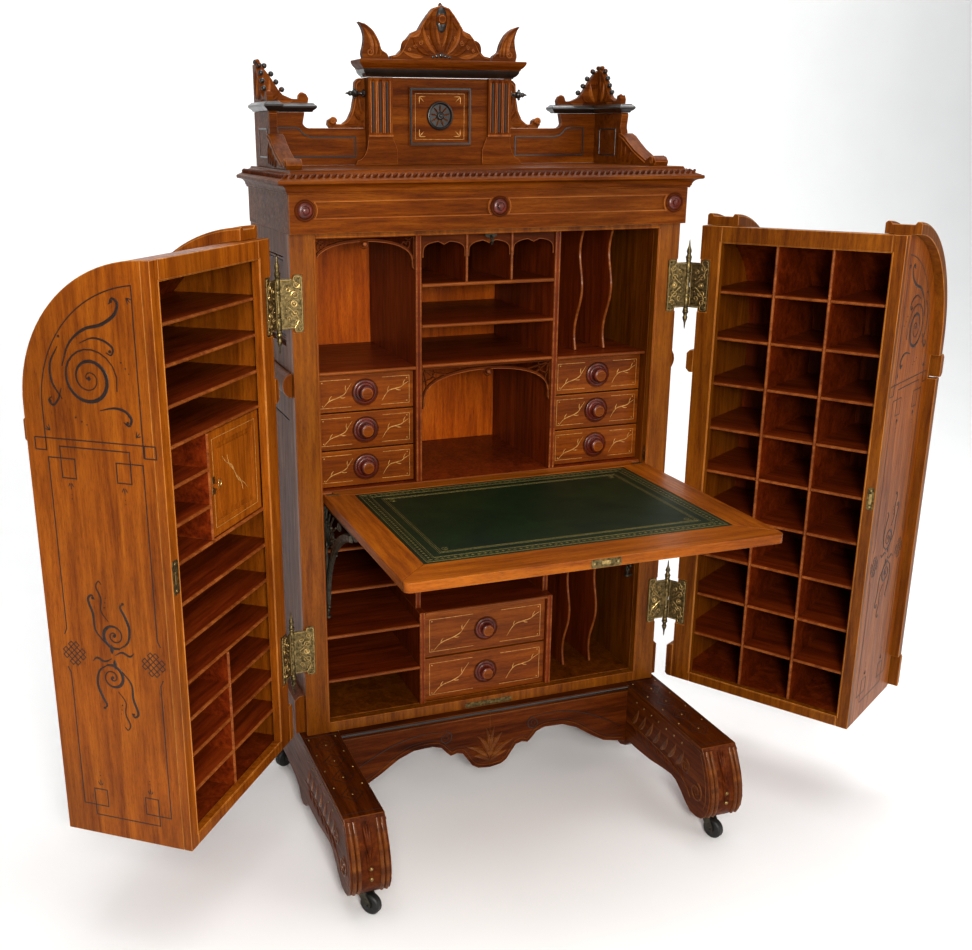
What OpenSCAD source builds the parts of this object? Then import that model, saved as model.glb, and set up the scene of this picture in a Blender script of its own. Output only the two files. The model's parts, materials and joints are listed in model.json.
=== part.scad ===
// Cabinet secretary desk: a tall case on sled feet with two deep quarter-round
// doors full of pigeonholes, a drop writing board, eight drawers and a gallery.
// Millimetres. Origin: on the floor, below the middle of the case's front plane.
// X to the desk's right-hand side as seen from the front, -Y to the front, Z up.

/* [Case] */
// Half the width of the case front
case_hw = 460; // [400:1:520]
// Half the width of the opening in the face frame
open_hw = 404; // [340:1:460]
// Depth of the case behind its front plane
case_d = 395; // [300:1:450]
// Underside of the case floor
case_z0 = 248; // [200:1:300]
// Top of the case floor, the bottom of the opening
floor_z = 274; // [240:1:320]
// Top of the opening
open_z1 = 1391; // [1200:1:1500]
// Top of the cornice
case_z1 = 1527; // [1400:1:1600]
// Thickness of the face frame
frame_t = 22; // [16:1:28]
// Top of the fixed deck and of the lowered writing board
deck_z = 835; // [760:1:880]

/* [Doors] */
// Distance of each hinge pin outside the edge of the case front
hinge_out = 28; // [20:1:40]
// How far the left door stands open
open_left = 127.8; // [0:0.1:150]
// How far the right door stands open
open_right = 121.7; // [0:0.1:150]
// Depth of each door
door_d = 281; // [200:1:320]
// Bottom of the doors
door_z0 = 256; // [240:1:300]
// Top of the doors
door_z1 = 1397; // [1200:1:1400]
// Radius of the round top
round_r = 265; // [150:1:280]
// Thickness of the door boards
door_t = 16; // [10:1:20]
// Thickness of the curved front
shell_t = 12; // [8:1:16]

/* [Writing board] */
// Thickness of the board
board_t = 20; // [16:1:26]
// Half the width of the board
board_hw = 402; // [340:1:403]
// Height of the pivot above the underside of the board
pivot_up = 4; // [4:1:10]
// Distance of the pivot behind the case front
pivot_y = 8; // [6:1:12]
// Length of the board in front of the pivot
board_l = 570.5; // [400:0.5:571]

/* [Drawers] */
// Pitch of the six upper drawers
drawer_pitch = 86; // [70:1:90]
// Front plane of the upper drawers
drawer_y = 50; // [48:1:60]
// Length of a drawer box
drawer_l = 300; // [200:1:320]
// Front plane of the two lower drawers
low_drawer_y = 24; // [22:1:40]

/* [Feet and gallery] */
// Top of the sled feet
leg_z1 = 246; // [200:1:248]
// Outer side of the sled feet
leg_x1 = 474; // [430:1:500]
// Width of a sled foot
leg_w = 90; // [60:1:120]
// Radius of the caster wheels
wheel_r = 24; // [18:1:30]
// Radius of the turned roundel
roundel_r = 30; // [20:1:40]

/* [Hidden] */
$fn = 48;

honey = [0.62, 0.36, 0.12];
amber = [0.55, 0.27, 0.07];
red_brown = [0.38, 0.13, 0.05];
black = [0.05, 0.04, 0.035];
brass = [0.55, 0.44, 0.22];
iron = [0.16, 0.15, 0.12];
green = [0.03, 0.17, 0.07];

gap = 0.3;                       // hairline between boards of one node
side_t = case_hw - open_hw - 12; // side wall, behind the face frame
side_x = case_hw - 12;           // outer face of the side wall
int_y = 34;                      // front edges of the upper partitions
back_y = case_d - 14;            // inner face of the back
hinge_x = case_hw + hinge_out;
door_u0 = hinge_out;             // hinge side of a door, from its pin
door_u1 = hinge_x - 0.5;         // meeting side
door_v0 = 0.5;                   // inner face, just in front of the case
round_v = door_d - round_r;
round_z = door_z1 - round_r;
div_x = 167;                     // middle of the main partitions
div_t = 14;
div_a = div_x - div_t / 2;
div_b = div_x + div_t / 2;
pin_r = 3;                       // hinge pins
pin_c = 0.05;                    // their radial clearance
shelf_t = 8;
belt_z = [1055, 1108];
plinth_top = 345;
bracket_z = [540, deck_z - board_t - 0.5];
bracket_x = 392;
bracket_y = 36;
drawer_z0 = deck_z + 2.5;
upper_floor_z = drawer_z0 + 3 * drawer_pitch + 8;   // top of the compartment floors
low_z = [floor_z + 2, 390, 504];
gal_y = 374;
hinges = [1260, 467];            // middle heights of the hinges
frame_w = 50;

module bx(a, b) translate(a) cube(b - a);
module both() { children(); mirror([1, 0, 0]) children(); }
module at_left() translate([-hinge_x, 0, 0]) rotate([0, 0, -open_left]) children();
module at_right() translate([hinge_x, 0, 0]) rotate([0, 0, open_right])
  mirror([1, 0, 0]) children();
// outline in (y, z) drawn from side to side
module side_plate(x0, x1, pts) translate([x0, 0, 0]) rotate([90, 0, 90])
  linear_extrude(x1 - x0) polygon(pts);
// outline in (x, z) drawn from front to back
module front_plate(y0, y1, pts) translate([0, y1, 0]) rotate([90, 0, 0])
  linear_extrude(y1 - y0) polygon(pts);
function arc(cx, cz, r, a0, a1, n) =
  [for (i = [0:n]) let(a = a0 + (a1 - a0) * i / n) [cx + r * cos(a), cz + r * sin(a)]];
function ell(cx, cz, rx, rz, a0, a1, n) =
  [for (i = [0:n]) let(a = a0 + (a1 - a0) * i / n) [cx + rx * cos(a), cz + rz * sin(a)]];

// ---------------------------------------------------------------- case
// straight convex staves between an outer and an inner curve, with a hairline between them
function mix(a, b, t) = a + (b - a) * t;
function stave(o, i, k, t) = [mix(o[k], o[k + 1], t), mix(o[k], o[k + 1], 1 - t),
  mix(i[k], i[k + 1], 1 - t), mix(i[k], i[k + 1], t)];
module case_shell() color(honey) {
  both() bx([open_hw + gap, frame_t + gap, case_z0], [side_x, back_y - gap, case_z1 - 24 - gap]);
  bx([-open_hw, frame_t + gap, case_z0], [open_hw, back_y - gap, floor_z]);
  bx([-side_x, back_y, case_z0], [side_x, case_d - 2, case_z1 - 24 - gap]);
  bx([-open_hw, frame_t + gap, open_z1], [open_hw, back_y - gap, open_z1 + 12]);
  bx([-side_x, -8, case_z1 - 24], [side_x, case_d - 2, case_z1 - 0.5]);
}

// stiles with shallow pockets for the hinge leaves, and the rails between
module stile_right() difference() {
  bx([open_hw, 0, case_z0], [case_hw, frame_t, 1402]);
  for (h = hinges) bx([case_hw - 26, -1, h - 60.2], [case_hw + 1, 3.2, h + 60.2]);
}
module face_frame() color(honey) {
  both() stile_right();
  bx([-open_hw + gap, 0, case_z0], [open_hw - gap, frame_t, floor_z]);
  bx([-open_hw + gap, 0, open_z1], [open_hw - gap, frame_t, 1402]);
}

// raised framing, belt and plinth on each side
module side_set() {
  x0 = side_x + gap;
  x1 = case_hw;
  y0 = frame_t + gap;
  y1 = case_d - 2;
  bx([x0, y0, plinth_top + gap], [x1, y0 + 40, 1402 - gap]);
  bx([x0, y1 - 50, plinth_top + gap], [x1, y1, 1402 - gap]);
  for (z = [[plinth_top + gap, 385], [1000, belt_z[0] - gap], [belt_z[1] + gap, 1160],
            [1352, 1402 - gap]])
    bx([x0, y0 + 40 + gap, z[0]], [x1, y1 - 50 - gap, z[1]]);
  translate([0, y0, 0]) rotate([-90, 0, 0]) linear_extrude(y1 - y0) polygon(concat(
    [[x1 + gap, -belt_z[0]]], [for (i = [0:8]) let(a = -90 + 180 * i / 8)
      [x1 + gap + 20 * cos(a), -(belt_z[0] + belt_z[1]) / 2 - (belt_z[1] - belt_z[0]) / 2 * sin(a)]],
    [[x1 + gap, -belt_z[1]]]));
  translate([0, y0, 0]) rotate([-90, 0, 0]) linear_extrude(y1 - y0)
    polygon([[x0, -case_z0], [x1 + 22, -case_z0], [x1 + 22, -332], [x1 + 12, -342], [x0, -plinth_top]]);
}
module side_mouldings() color(honey) both() side_set();

// frieze with two sunken panels whose ends are hollowed round the rosettes
ros_x = 429;
ros_z = 1449;
module frieze_pocket(xa, xb) difference() {
  bx([xa, -19, 1433], [xb, -13, 1467]);
  for (x = [xa - 4, xb + 4]) translate([x, 0, ros_z]) rotate([90, 0, 0]) cylinder(r = 24, h = 40);
}
module frieze() color(honey) {
  difference() {
    bx([-462, -18, 1402 + gap], [462, -8 - gap, 1481]);
    frieze_pocket(-ros_x + 4, -4);
    frieze_pocket(4, ros_x - 4);
  }
  bx([-462, -8, 1402 + gap], [462, frame_t, 1481]);
  both() bx([side_x + gap, frame_t + gap, 1402 + gap], [462, case_d - 2, 1481]);
}
module frieze_rosettes() color(red_brown)
  for (x = [-ros_x, 0, ros_x]) translate([x, -18 - gap, ros_z]) rotate([90, 0, 0])
    rotate_extrude() polygon([[0, 0], [17, 0], [17, 3], [14, 5.5], [11, 4], [8, 4], [6, 8], [0, 9]]);

// cornice: stacked frusta, wide at the tip and sloping back to the top
module ring_slab(o0, o1, z0, z1) hull() {
  bx([-462 - o0, -18 - o0, z0], [462 + o0, case_d + min(o0, 0) - 2, z0 + 0.01]);
  bx([-462 - o1, -18 - o1, z1 - 0.01], [462 + o1, case_d + min(o1, 0) - 2, z1]);
}
module cornice() color(honey) difference() {
  union() {
    ring_slab(2, 6, 1481 + gap, 1487);
    ring_slab(6, 22, 1487, 1500);
    ring_slab(26, 26, 1500, 1508);
    ring_slab(22, -8, 1508, case_z1);
  }
  bx([-side_x - gap, -8 - gap, 1470], [side_x + gap, case_d + 5, case_z1 + 5]);
}

// ---------------------------------------------------------------- inside
low_front = 15;
module partitions() color(amber) {
  bx([-open_hw, 31.5, deck_z - 11], [open_hw, back_y - gap, deck_z]);
  both() {
    bx([div_a, int_y, deck_z + gap], [div_b, back_y - gap, open_z1 - gap]);
    bx([div_a, low_front, floor_z + gap], [div_b, back_y - gap, low_z[2] + 10]);
    bx([div_a, 46, low_z[2] + 10 + gap], [div_b, back_y - gap, deck_z - 11 - gap]);
  }
}
module board(x0, x1, y0, z) bx([x0 + gap, y0, z - shelf_t], [x1 - gap, back_y - gap, z]);
module shelves() color(amber) {
  both() board(div_b, open_hw, int_y, upper_floor_z);
  for (z = [1285, 1195, 1106]) board(-div_a, div_a, int_y, z);
  for (z = [377, 488]) board(-open_hw, -div_b, low_front, z);
  board(-open_hw, -div_b, 46, 588);
  board(-open_hw, -div_b, 46, 690);
  board(div_b, open_hw, 46, 588);
  board(-div_a, div_a, low_front, low_z[2] + 10);
  board(-div_a, div_a, 46, 640);
}
module pigeonholes() color(amber) {
  for (x = [-54, 54]) bx([x - 3, int_y, 1285 + gap], [x + 3, back_y - gap, open_z1 - gap]);
  // runners between the drawers
  both() for (k = [1, 2]) bx([div_b + gap, 70, drawer_z0 + k * drawer_pitch - 3],
                             [open_hw - gap, back_y - gap, drawer_z0 + k * drawer_pitch - 0.5]);
  bx([-div_a + gap, 40, low_z[1] - 1.4], [div_a - gap, back_y - gap, low_z[1] + 1.1]);
}
// upright dividers with a wavy front edge
module wavy(x, z0, z1) side_plate(x - 3, x + 3, concat([[340, z1], [340, z0]],
  [for (i = [0:20]) let(t = i / 20) [96 - 22 * t + 12 * sin(360 * 1.5 * t), z0 + (z1 - z0) * t]]));
module file_dividers() color(amber) {
  for (x = [251, 327]) {
    wavy(x, upper_floor_z + gap, open_z1 - gap);
    wavy(x, floor_z + gap, 588 - shelf_t - gap);
  }
}
// thin fretwork: staves that follow an arch below a rail, with open corners
function vault(x0, x1, z0, rise, in) = [for (i = [0:13])
  [(x0 + x1) / 2 - ((x1 - x0) / 2 - in) * cos(180 / 13 * i),
   z0 + (rise - in) * pow(max(0, sin(180 / 13 * i)), 0.62)]];
module fret(x0, x1, z0, z1) {
  for (k = [0:12]) front_plate(int_y + 3, int_y + 9,
    stave(vault(x0, x1, z0, z1 - z0, 5.3), vault(x0, x1, z0, z1 - z0, 12.3), k, 0.03));
  bx([x0, int_y + 3, z1 - 5], [x1, int_y + 9, z1]);
  for (x = [x0, x1 - 5]) bx([x, int_y + 3, z0], [x + 5, int_y + 9, z1 - 5 - gap]);
}
// a lintel with an arched underside, in upright slats
module lintel(x0, x1, z0, z1) {
  low = vault(x0, x1, z0, z1 - 7 - z0, 1);
  for (k = [0:12]) front_plate(int_y + 3, int_y + 9,
    stave([for (p = low) [p[0], z1]], low, k, 0.03));
}
module button(x, z) translate([x, int_y + 6, z]) sphere(r = 6);
module fretwork() color(amber) {
  fret(-open_hw + gap, -div_b - gap, 1316, open_z1 - gap);
  fret(-div_a + gap, div_a - gap, 1004, 1106 - shelf_t - gap);
  for (i = [-1:1]) lintel(i * 107 - 50, i * 107 + 50, 1341, open_z1 - gap);
  button((-open_hw - div_b) / 2, open_z1 - 16);
  button(0, 1082);
  for (i = [-1:1]) button(i * 107, open_z1 - 13);
}

// ---------------------------------------------------------------- gallery
module gallery_walls() color(honey) {
  both() {
    front_plate(gal_y, gal_y + 18, concat([[180 + gap, case_z1], [180 + gap, 1610], [316, 1610]],
      arc(316, 1626, 16, 270, 340, 5), [[326, 1645], [440, 1645], [440, case_z1]]));
    side_plate(422, 440, [[gal_y - gap, case_z1], [gal_y - gap, 1645], [236, 1645], [233, 1640],
      [238, 1612], [233, 1600], [233, case_z1]]);
  }
}
module gallery_block() color(honey) {
  bx([-180, 356, case_z1], [180, gal_y + 18, 1722]);
  // plinth that spreads below the pilasters
  for (s = [0, 1]) mirror([s, 0, 0]) front_plate(350, 356 - gap, concat(
    [[108, case_z1], [108, 1560], [120, 1590], [180, 1590]],
    [for (i = [1:6]) [180 + 26 * (1 - cos(15 * i)), 1590 - 52 * sin(15 * i)]], [[212, case_z1]]));
}
module gallery_caps() {
  color(black) hull() {
    bx([-184, 342, 1722 + gap], [184, gal_y + 20, 1723]);
    bx([-197, 332, 1739], [197, gal_y + 22, 1740]);
  }
  color(honey) bx([-208, 326, 1740 + gap], [208, gal_y + 24, 1760]);
  // bent black caps on the corners
  color(black) both() {
    bx([299, 362, 1645 + gap], [452, 402, 1665]);
    bx([410, 222, 1645 + gap], [452, 362 - gap, 1665]);
  }
}
module pilasters() color(honey) both() difference() {
  bx([121, 346, 1590 + gap], [180, 356 - gap, 1722]);
  for (k = [-1:1]) translate([150.5 + 17 * k, 344.5, 0]) {
    translate([0, 0, 1600]) cylinder(r = 5.5, h = 112);
    for (z = [1600, 1712]) translate([0, 0, z]) sphere(r = 5.5);
  }
}
module roundel() {
  color(honey) difference() {
    bx([-79, 350, 1570], [79, 356 - gap, 1702]);
    bx([-70, 340, 1579], [70, 360, 1693]);
  }
  color(black) translate([0, 356 - gap, 1640]) rotate([90, 0, 0]) {
    rotate_extrude() polygon([[0, 0], [roundel_r, 0], [roundel_r, 5], [roundel_r - 3, 7],
      [roundel_r - 6, 4], [9, 3], [7, 8], [0, 9]]);
    for (k = [0:9]) rotate([0, 0, 36 * k]) translate([8, -1.6, 2]) cube([roundel_r - 13, 3.2, 4.5]);
  }
}
module crest() {
  color(honey) front_plate(346, 366, [[-124, 1760 + gap], [-124, 1769], [-108, 1772], [-96, 1784],
    [-84, 1806], [-72, 1820], [-56, 1826], [-46, 1842], [-34, 1858], [-20, 1874], [0, 1880],
    [20, 1874], [34, 1858], [46, 1842], [56, 1826], [72, 1820], [84, 1806], [96, 1784],
    [108, 1772], [124, 1769], [124, 1760 + gap]]);
  color(black) translate([0, 346 - gap, 1850]) rotate([90, 0, 0]) cylinder(r1 = 14, r2 = 8, h = 7);
  color(black) translate([0, 356, 1880 + gap]) cylinder(r1 = 6, r2 = 2, h = 6);
}
// horns on the cap and turned buds beside the pilasters
module acroteria() {
  color(honey) both() front_plate(348, 366, [[128, 1760 + gap], [132, 1774], [146, 1782],
    [152, 1800], [166, 1822], [182, 1836], [199, 1840], [192, 1828], [187, 1810], [189, 1790],
    [192, 1774], [190, 1760 + gap]]);
  color(black) both() translate([185, 366, 1687]) rotate([0, 90, 0]) rotate_extrude()
    polygon([[0, 0], [7, 0], [7, 6], [3, 10], [3, 18], [8, 22], [9, 27], [6, 33], [2, 38], [0, 46]]);
}
// half a pediment over each arm of the corner, with a row of beads
crest_pts = [[0, 0], [0, 80], [10, 82], [20, 76], [33, 60], [44, 44], [54, 28], [64, 17],
             [84, 9], [100, 8], [106, 20], [118, 20], [124, 10], [122, 0]];
bead_pts = [[8, 84], [24, 77], [38, 60], [49, 43], [60, 26]];
module corner_crest() {
  color(honey) translate([440, gal_y + 14, 1665 + gap]) rotate([90, 0, 0]) linear_extrude(14)
    polygon([for (p = crest_pts) [-p[0], p[1]]]);
  color(honey) translate([426, gal_y - gap, 1665 + gap]) rotate([90, 0, -90]) mirror([0, 0, 1])
    linear_extrude(14) polygon([for (p = crest_pts) [p[0], p[1]]]);
  color(black) for (p = bead_pts) {
    translate([440 - p[0] - 2, gal_y + 7, 1665 + p[1] + 3]) sphere(r = 5, $fn = 20);
    translate([433, gal_y - p[0] - 2, 1665 + p[1] + 3]) sphere(r = 5, $fn = 20);
  }
}
module corner_crests() both() corner_crest();
module gallery_brackets() color(honey) both() {
  // scroll that runs forward from each corner
  side_plate(414, 448, [[232, case_z1], [232, 1598], [222, 1598], [205, 1592], [180, 1577],
    [150, 1561], [120, 1549], [96, 1539], [84, 1544], [72, 1549], [58, 1545], [50, 1536],
    [54, case_z1]]);
  // volute beside the middle block
  front_plate(gal_y + 1, gal_y + 17, [[180 + gap, 1610 + gap], [180 + gap, 1721], [196, 1720],
    [204, 1712], [206, 1680], [212, 1650], [222, 1630], [236, 1619], [250, 1619], [252, 1628],
    [260, 1633], [270, 1628], [272, 1618], [266, 1610 + gap]]);
}

// ---------------------------------------------------------------- feet
leg_pts = [[case_d, leg_z1], [-361, leg_z1], [-368, 236], [-380, 214], [-394, 186], [-403, 158],
  [-407, 130], [-404, 104], [-394, 84], [-378, 70], [-358, 64], [-332, 64], [-310, 76],
  [-288, 92], [-262, 108], [-240, 112], [-205, 108], [-140, 97], [-70, 92], [-40, 92], [-16, 72],
  [10, 62], [34, 66], [52, 88], [90, 96], [180, 100], [240, 98], [270, 84], [290, 66],
  [340, 64], [372, 72], [392, 92]];
module sled_legs() color(honey) both() side_plate(leg_x1 - leg_w, leg_x1, leg_pts);
// scalloped front board between the feet, half of it mirrored
apron_pts = [[0, 82], [30, 86], [46, 96], [58, 114], [72, 134], [88, 138], [104, 134], [116, 146],
  [128, 160], [150, 168], [200, 166], [240, 150], [280, 122], [320, 98], [leg_x1 - leg_w - gap, 84],
  [leg_x1 - leg_w - gap, 238], [0, 238]];
module apron() {
  color(honey) for (s = [0, 1]) mirror([s, 0, 0])
    front_plate(-14, 6, [for (p = apron_pts) [max(p[0], gap / 2), p[1]]]);
  color(black) bx([-leg_x1 + leg_w + gap, -18, 238 + gap], [leg_x1 - leg_w - gap, 6, leg_z1]);
  color(honey) bx([-leg_x1 + leg_w + gap, 376, 150], [leg_x1 - leg_w - gap, case_d - 2, leg_z1]);
}
fork_z = 64 - gap;
module caster_fork() color(iron) difference() {
  union() {
    translate([0, 0, fork_z - 4]) cylinder(r = 15, h = 4);
    translate([0, 0, fork_z - 8]) cylinder(r = 9, h = 4);
    for (s = [-1, 1]) translate([0, s * 12.5, 0]) rotate([90, 0, 0])
      linear_extrude(3, center = true)
        polygon([[-10, fork_z - 8], [12, fork_z - 8], [27, 30], [27, 19], [13, 19]]);
    translate([-10, -14, fork_z - 12]) cube([22, 28, 4]);
  }
  translate([20, 0, wheel_r]) rotate([90, 0, 0]) cylinder(r = 2.55, h = 60, center = true);
}
module caster_wheel() color(iron) translate([20, 0, wheel_r]) rotate([90, 0, 0]) {
  rotate_extrude() polygon([[0, -9.5], [wheel_r - 3, -9.5], [wheel_r, -6], [wheel_r, 6],
    [wheel_r - 3, 9.5], [0, 9.5]]);
  cylinder(r = 2.5, h = 34, center = true);
}
module caster_at(x, y, a) translate([x, y, 0]) rotate([0, 0, a]) children();

// ---------------------------------------------------------------- brass
// leaf, knuckles and pin: the case keeps the outer knuckles and the pin
module knuckle(z0, z1) translate([0, 0, z0]) difference() {
  cylinder(r = 6, h = z1 - z0);
  translate([0, 0, -1]) cylinder(r = pin_r + pin_c, h = z1 - z0 + 2);
}
module finial(s) mirror([0, 0, s]) rotate_extrude() polygon([[0, 0], [7, 0], [8, 4], [5, 8],
  [4, 12], [6, 17], [5, 22], [2, 30], [0.8, 44], [0, 46]]);
module case_leaf(h) {
  difference() {
    bx([-hinge_out - 25, 0.2, -60], [-3, 3, 60]);
    translate([0, 0, -20.4]) cylinder(r = 7, h = 40.8);
  }
  for (s = [-1, 1]) translate([0, 0, s > 0 ? 20.4 : -60]) cylinder(r = 6, h = 39.6);
  translate([0, 0, -60]) cylinder(r = pin_r, h = 120);
  translate([0, 0, 60]) finial(0);
  translate([0, 0, -60]) finial(1);
}
module door_leaf(h) difference() {
  union() {
    bx([3, -3.4, -60], [hinge_out + 25, -0.7, 60]);
    translate([0, 0, -20]) cylinder(r = 6, h = 40);
  }
  for (s = [-1, 1]) translate([0, 0, s > 0 ? 20 : -61]) cylinder(r = 7, h = 41);
  translate([0, 0, -30]) cylinder(r = pin_r + pin_c, h = 60);
}
module case_hinges() color(brass) both() for (h = hinges) translate([hinge_x, 0, h]) case_leaf(h);
module case_brass() color(brass) {
  // long strike on the bottom rail, pivot pins of the board, plates of the board stays
  bx([-60, -0.35, 252], [60, -0.05, 264]);
  both() {
    translate([open_hw, pivot_y, deck_z - board_t + pivot_up]) rotate([0, -90, 0])
      cylinder(r = 2.5, h = 20);
    for (z = [bracket_z[0] - 6, bracket_z[1] - 24]) bracket_eye(z);
  }
}
// eyes of the bracket pins, carried by the inner side of the case
module bracket_eye(z) difference() {
  union() {
    translate([bracket_x, bracket_y, z - 6]) cylinder(r = 7, h = 5.5);
    bx([bracket_x, bracket_y - 5, z - 6], [open_hw, bracket_y + 5, z - 0.5]);
  }
  translate([bracket_x, bracket_y, z - 8]) cylinder(r = 3.05, h = 12);
}

// ---------------------------------------------------------------- doors
// local frame of a door: x from the pin to the meeting edge, -y away from the case
module door_frame() difference() {
  union() {
    bx([door_u0, -door_t - 2, door_z0], [door_u0 + frame_w, -door_v0, door_z1]);
    bx([door_u1 - 28, -door_t - 2, door_z0], [door_u1, -door_v0, door_z1]);
    bx([door_u0 + frame_w + gap, -door_t - 2, door_z0], [door_u1 - 28 - gap, -door_v0, 282]);
    bx([door_u0 + frame_w + gap, -door_t - 2, 1359], [door_u1 - 28 - gap, -door_v0, door_z1]);
  }
  for (h = hinges) bx([door_u0 - 1, -3.6, h - 60.2], [door_u0 + 26, 0, h + 60.2]);
}
fr_v = door_t + 2 + gap;
// the round top's arc, from depth v to the front
function arch(r, v, up, n = 24) = arc(-round_v, round_z + up, r,
  90 + asin((v - round_v) / r), 180, n);
function door_side(r) = concat([[-fr_v, door_z0]], arch(r, fr_v, 0), [[-round_v - r, door_z0]]);
module door_ends() for (u = [[door_u0, door_u0 + door_t], [door_u1 - door_t, door_u1]])
  side_plate(u[0], u[1], door_side(round_r));
module door_shell() {
  a = door_u0 + door_t + gap;
  b = door_u1 - door_t - gap;
  outer = arch(round_r - gap, fr_v, gap, 12);
  inner = arch(round_r - shell_t, fr_v, gap, 12);
  for (k = [0:11]) side_plate(a, b, stave(outer, inner, k, 0.005));
  bx([a, -door_d, door_z0], [b, -door_d + shell_t, round_z]);
  bx([a, -door_d + shell_t + gap, door_z0], [b, -fr_v, door_z0 + 18]);
}
in_r = round_r - shell_t - 1;
// depth that is free behind the curved front at a height
function deep(z) = z < round_z ? round_v + in_r
  : round_v + sqrt(max(0, in_r * in_r - (z - round_z) * (z - round_z)));
in_u0 = door_u0 + frame_w;
in_u1 = door_u1 - 28;
wall_u0 = door_u0 + door_t + gap;
wall_u1 = door_u1 - door_t - gap;
module door_board(u0, u1, z, t) bx([u0, -deep(z) + 1, z - t], [u1, -fr_v, z]);
module upright(u, z0, z1, t) intersection() {
  bx([u - t / 2, -door_d, z0], [u + t / 2, -fr_v, z1]);
  side_plate(u - t / 2 - 1, u + t / 2 + 1, concat([[-fr_v + 1, door_z0 - 1]],
    arch(in_r, fr_v - 1, 0), [[-round_v - in_r, door_z0 - 1]]));
}
left_rows = [1285, 1211, 1137, 1063];
cup_u = 299;
cup_z = [840, 1063];
low_rows = [758, 677, 595];
duo_rows = [517, 439, 361];
mid_u = 267;
module left_shelves() color(amber) {
  for (z = left_rows) door_board(wall_u0, wall_u1, z, 7);
  for (z = concat([cup_z[0]], low_rows)) door_board(wall_u0, wall_u1, z, 7);
  upright(cup_u, cup_z[0] + gap, cup_z[1] - 7 - gap, 6);
  for (z = [988, 914]) door_board(cup_u + 3 + gap, wall_u1, z, 7);
  upright(mid_u, door_z0 + 18 + gap, 595 - 7 - gap, 7);
  for (z = duo_rows) {
    door_board(wall_u0, mid_u - 3.5 - gap, z, 7);
    door_board(mid_u + 3.5 + gap, wall_u1, z, 7);
  }
  // pins that carry the small cupboard's door
  for (z = [cup_z[0] + gap, cup_z[1] - 7 - gap - 8])
    translate([86, -26, z]) cylinder(r = 2, h = 8);
}
grid_u = [205.5, 332.5];
module right_grid() color(amber) {
  for (u = grid_u) upright(u, door_z0 + 18 + gap, round_z + in_r - 1, 7);
  for (k = [1:9]) let(z = 1358 - 107.6 * k) {
    door_board(wall_u0, grid_u[0] - 3.5 - gap, z, 7);
    door_board(grid_u[0] + 3.5 + gap, grid_u[1] - 3.5 - gap, z, 7);
    door_board(grid_u[1] + 3.5 + gap, wall_u1, z, 7);
  }
}
// a rib that runs up the front and over the round top: two beads and a hollow
rib_w = 76;
lap = 20;                        // the right door's rib covers the joint by this much
function rib_sec(h) = [[0, 0], [rib_w, 0], [rib_w, h - 4], [rib_w - 4, h], [rib_w - 11, h],
  [rib_w - 15, h - 6], [15, h - 6], [11, h], [4, h], [0, h - 4]];
module rib(u, h) translate([u, 0, 0]) {
  translate([0, -round_v, round_z]) rotate([0, 90, 0]) rotate([0, 0, 180])
    for (k = [0:8]) rotate([0, 0, 10 * k]) rotate_extrude(angle = 9.92, $fn = 96)
    polygon([for (p = rib_sec(h)) [round_r + gap + p[1], p[0]]]);
  translate([0, -door_d - gap, 0]) linear_extrude(round_z - gap) polygon(
    [for (p = rib_sec(h)) [p[0], -p[1]]]);
}
module rib_cut(u, h) difference() {
  rib(u, h);
  bx([u - 1, -door_d - 60, -10], [u + rib_w + 1, 0, plinth_top + gap]);
  bx([u - 1, -door_d - 60, belt_z[0] - gap], [u + rib_w + 1, 0, belt_z[1] + gap]);
  bx([u - 1, -26, 1300], [u + rib_w + 1, 5, 1500]);
}
// belt or base block on the front of a door and round its hinge side
module band(z0, z1, t, ch, short) {
  side_plate(door_u0, door_u1 - short, [[-door_d - gap, z0], [-door_d - t + ch, z0],
    [-door_d - t, z0 + ch], [-door_d - t, z1 - ch], [-door_d - t + ch, z1], [-door_d - gap, z1]]);
  translate([0, -door_v0, 0]) rotate([90, 0, 0]) linear_extrude(door_d + t - door_v0)
    polygon([[door_u0 - gap, z0], [door_u0 - 18 + ch, z0], [door_u0 - 18, z0 + ch],
      [door_u0 - 18, z1 - ch], [door_u0 - 18 + ch, z1], [door_u0 - gap, z1]]);
}
module band_over(u, z0, z1, t) side_plate(u, u + rib_w, [[-door_d - 24, z0], [-door_d - t + 8, z0],
  [-door_d - t, z0 + 8], [-door_d - t, z1 - 8], [-door_d - t + 8, z1], [-door_d - 24, z1]]);
module left_mouldings() color(honey) {
  rib_cut(door_u0, 26);
  band(belt_z[0], belt_z[1], 20, 8, lap + 1);
  band(door_z0, plinth_top, 14, 6, lap + 1);
  band_over(door_u0, belt_z[0], belt_z[1], 44);
  band_over(door_u0, door_z0, plinth_top, 36);
}
rib2_u = door_u1 - rib_w + lap;
module right_mouldings() color(honey) {
  rib_cut(door_u0, 26);
  rib_cut(rib2_u, 26);
  band(belt_z[0], belt_z[1], 20, 8, 0);
  band(door_z0, plinth_top, 14, 6, 0);
  for (u = [door_u0, rib2_u]) {
    band_over(u, belt_z[0], belt_z[1], 44);
    band_over(u, door_z0, plinth_top, 36);
  }
}
module plate(u0, u1, z0, z1) bx([u0, -door_v0 + gap / 2, z0], [u1, -0.1, z1]);

module left_frame() color(honey) at_left() door_frame();
module left_brass() color(brass) at_left() {
  for (h = hinges) translate([0, 0, h]) door_leaf(h);
  bx([door_u1 - 22, -door_v0 + 0.05, 800], [door_u1 - 2, -0.1, 862]);
}
module right_frame() color(honey) at_right() door_frame();
module right_brass() color(brass) at_right() {
  for (h = hinges) translate([0, 0, h]) door_leaf(h);
  bx([door_u1 - 18, -door_v0 + 0.05, 800], [door_u1 - 3, -0.1, 855]);
}
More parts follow.
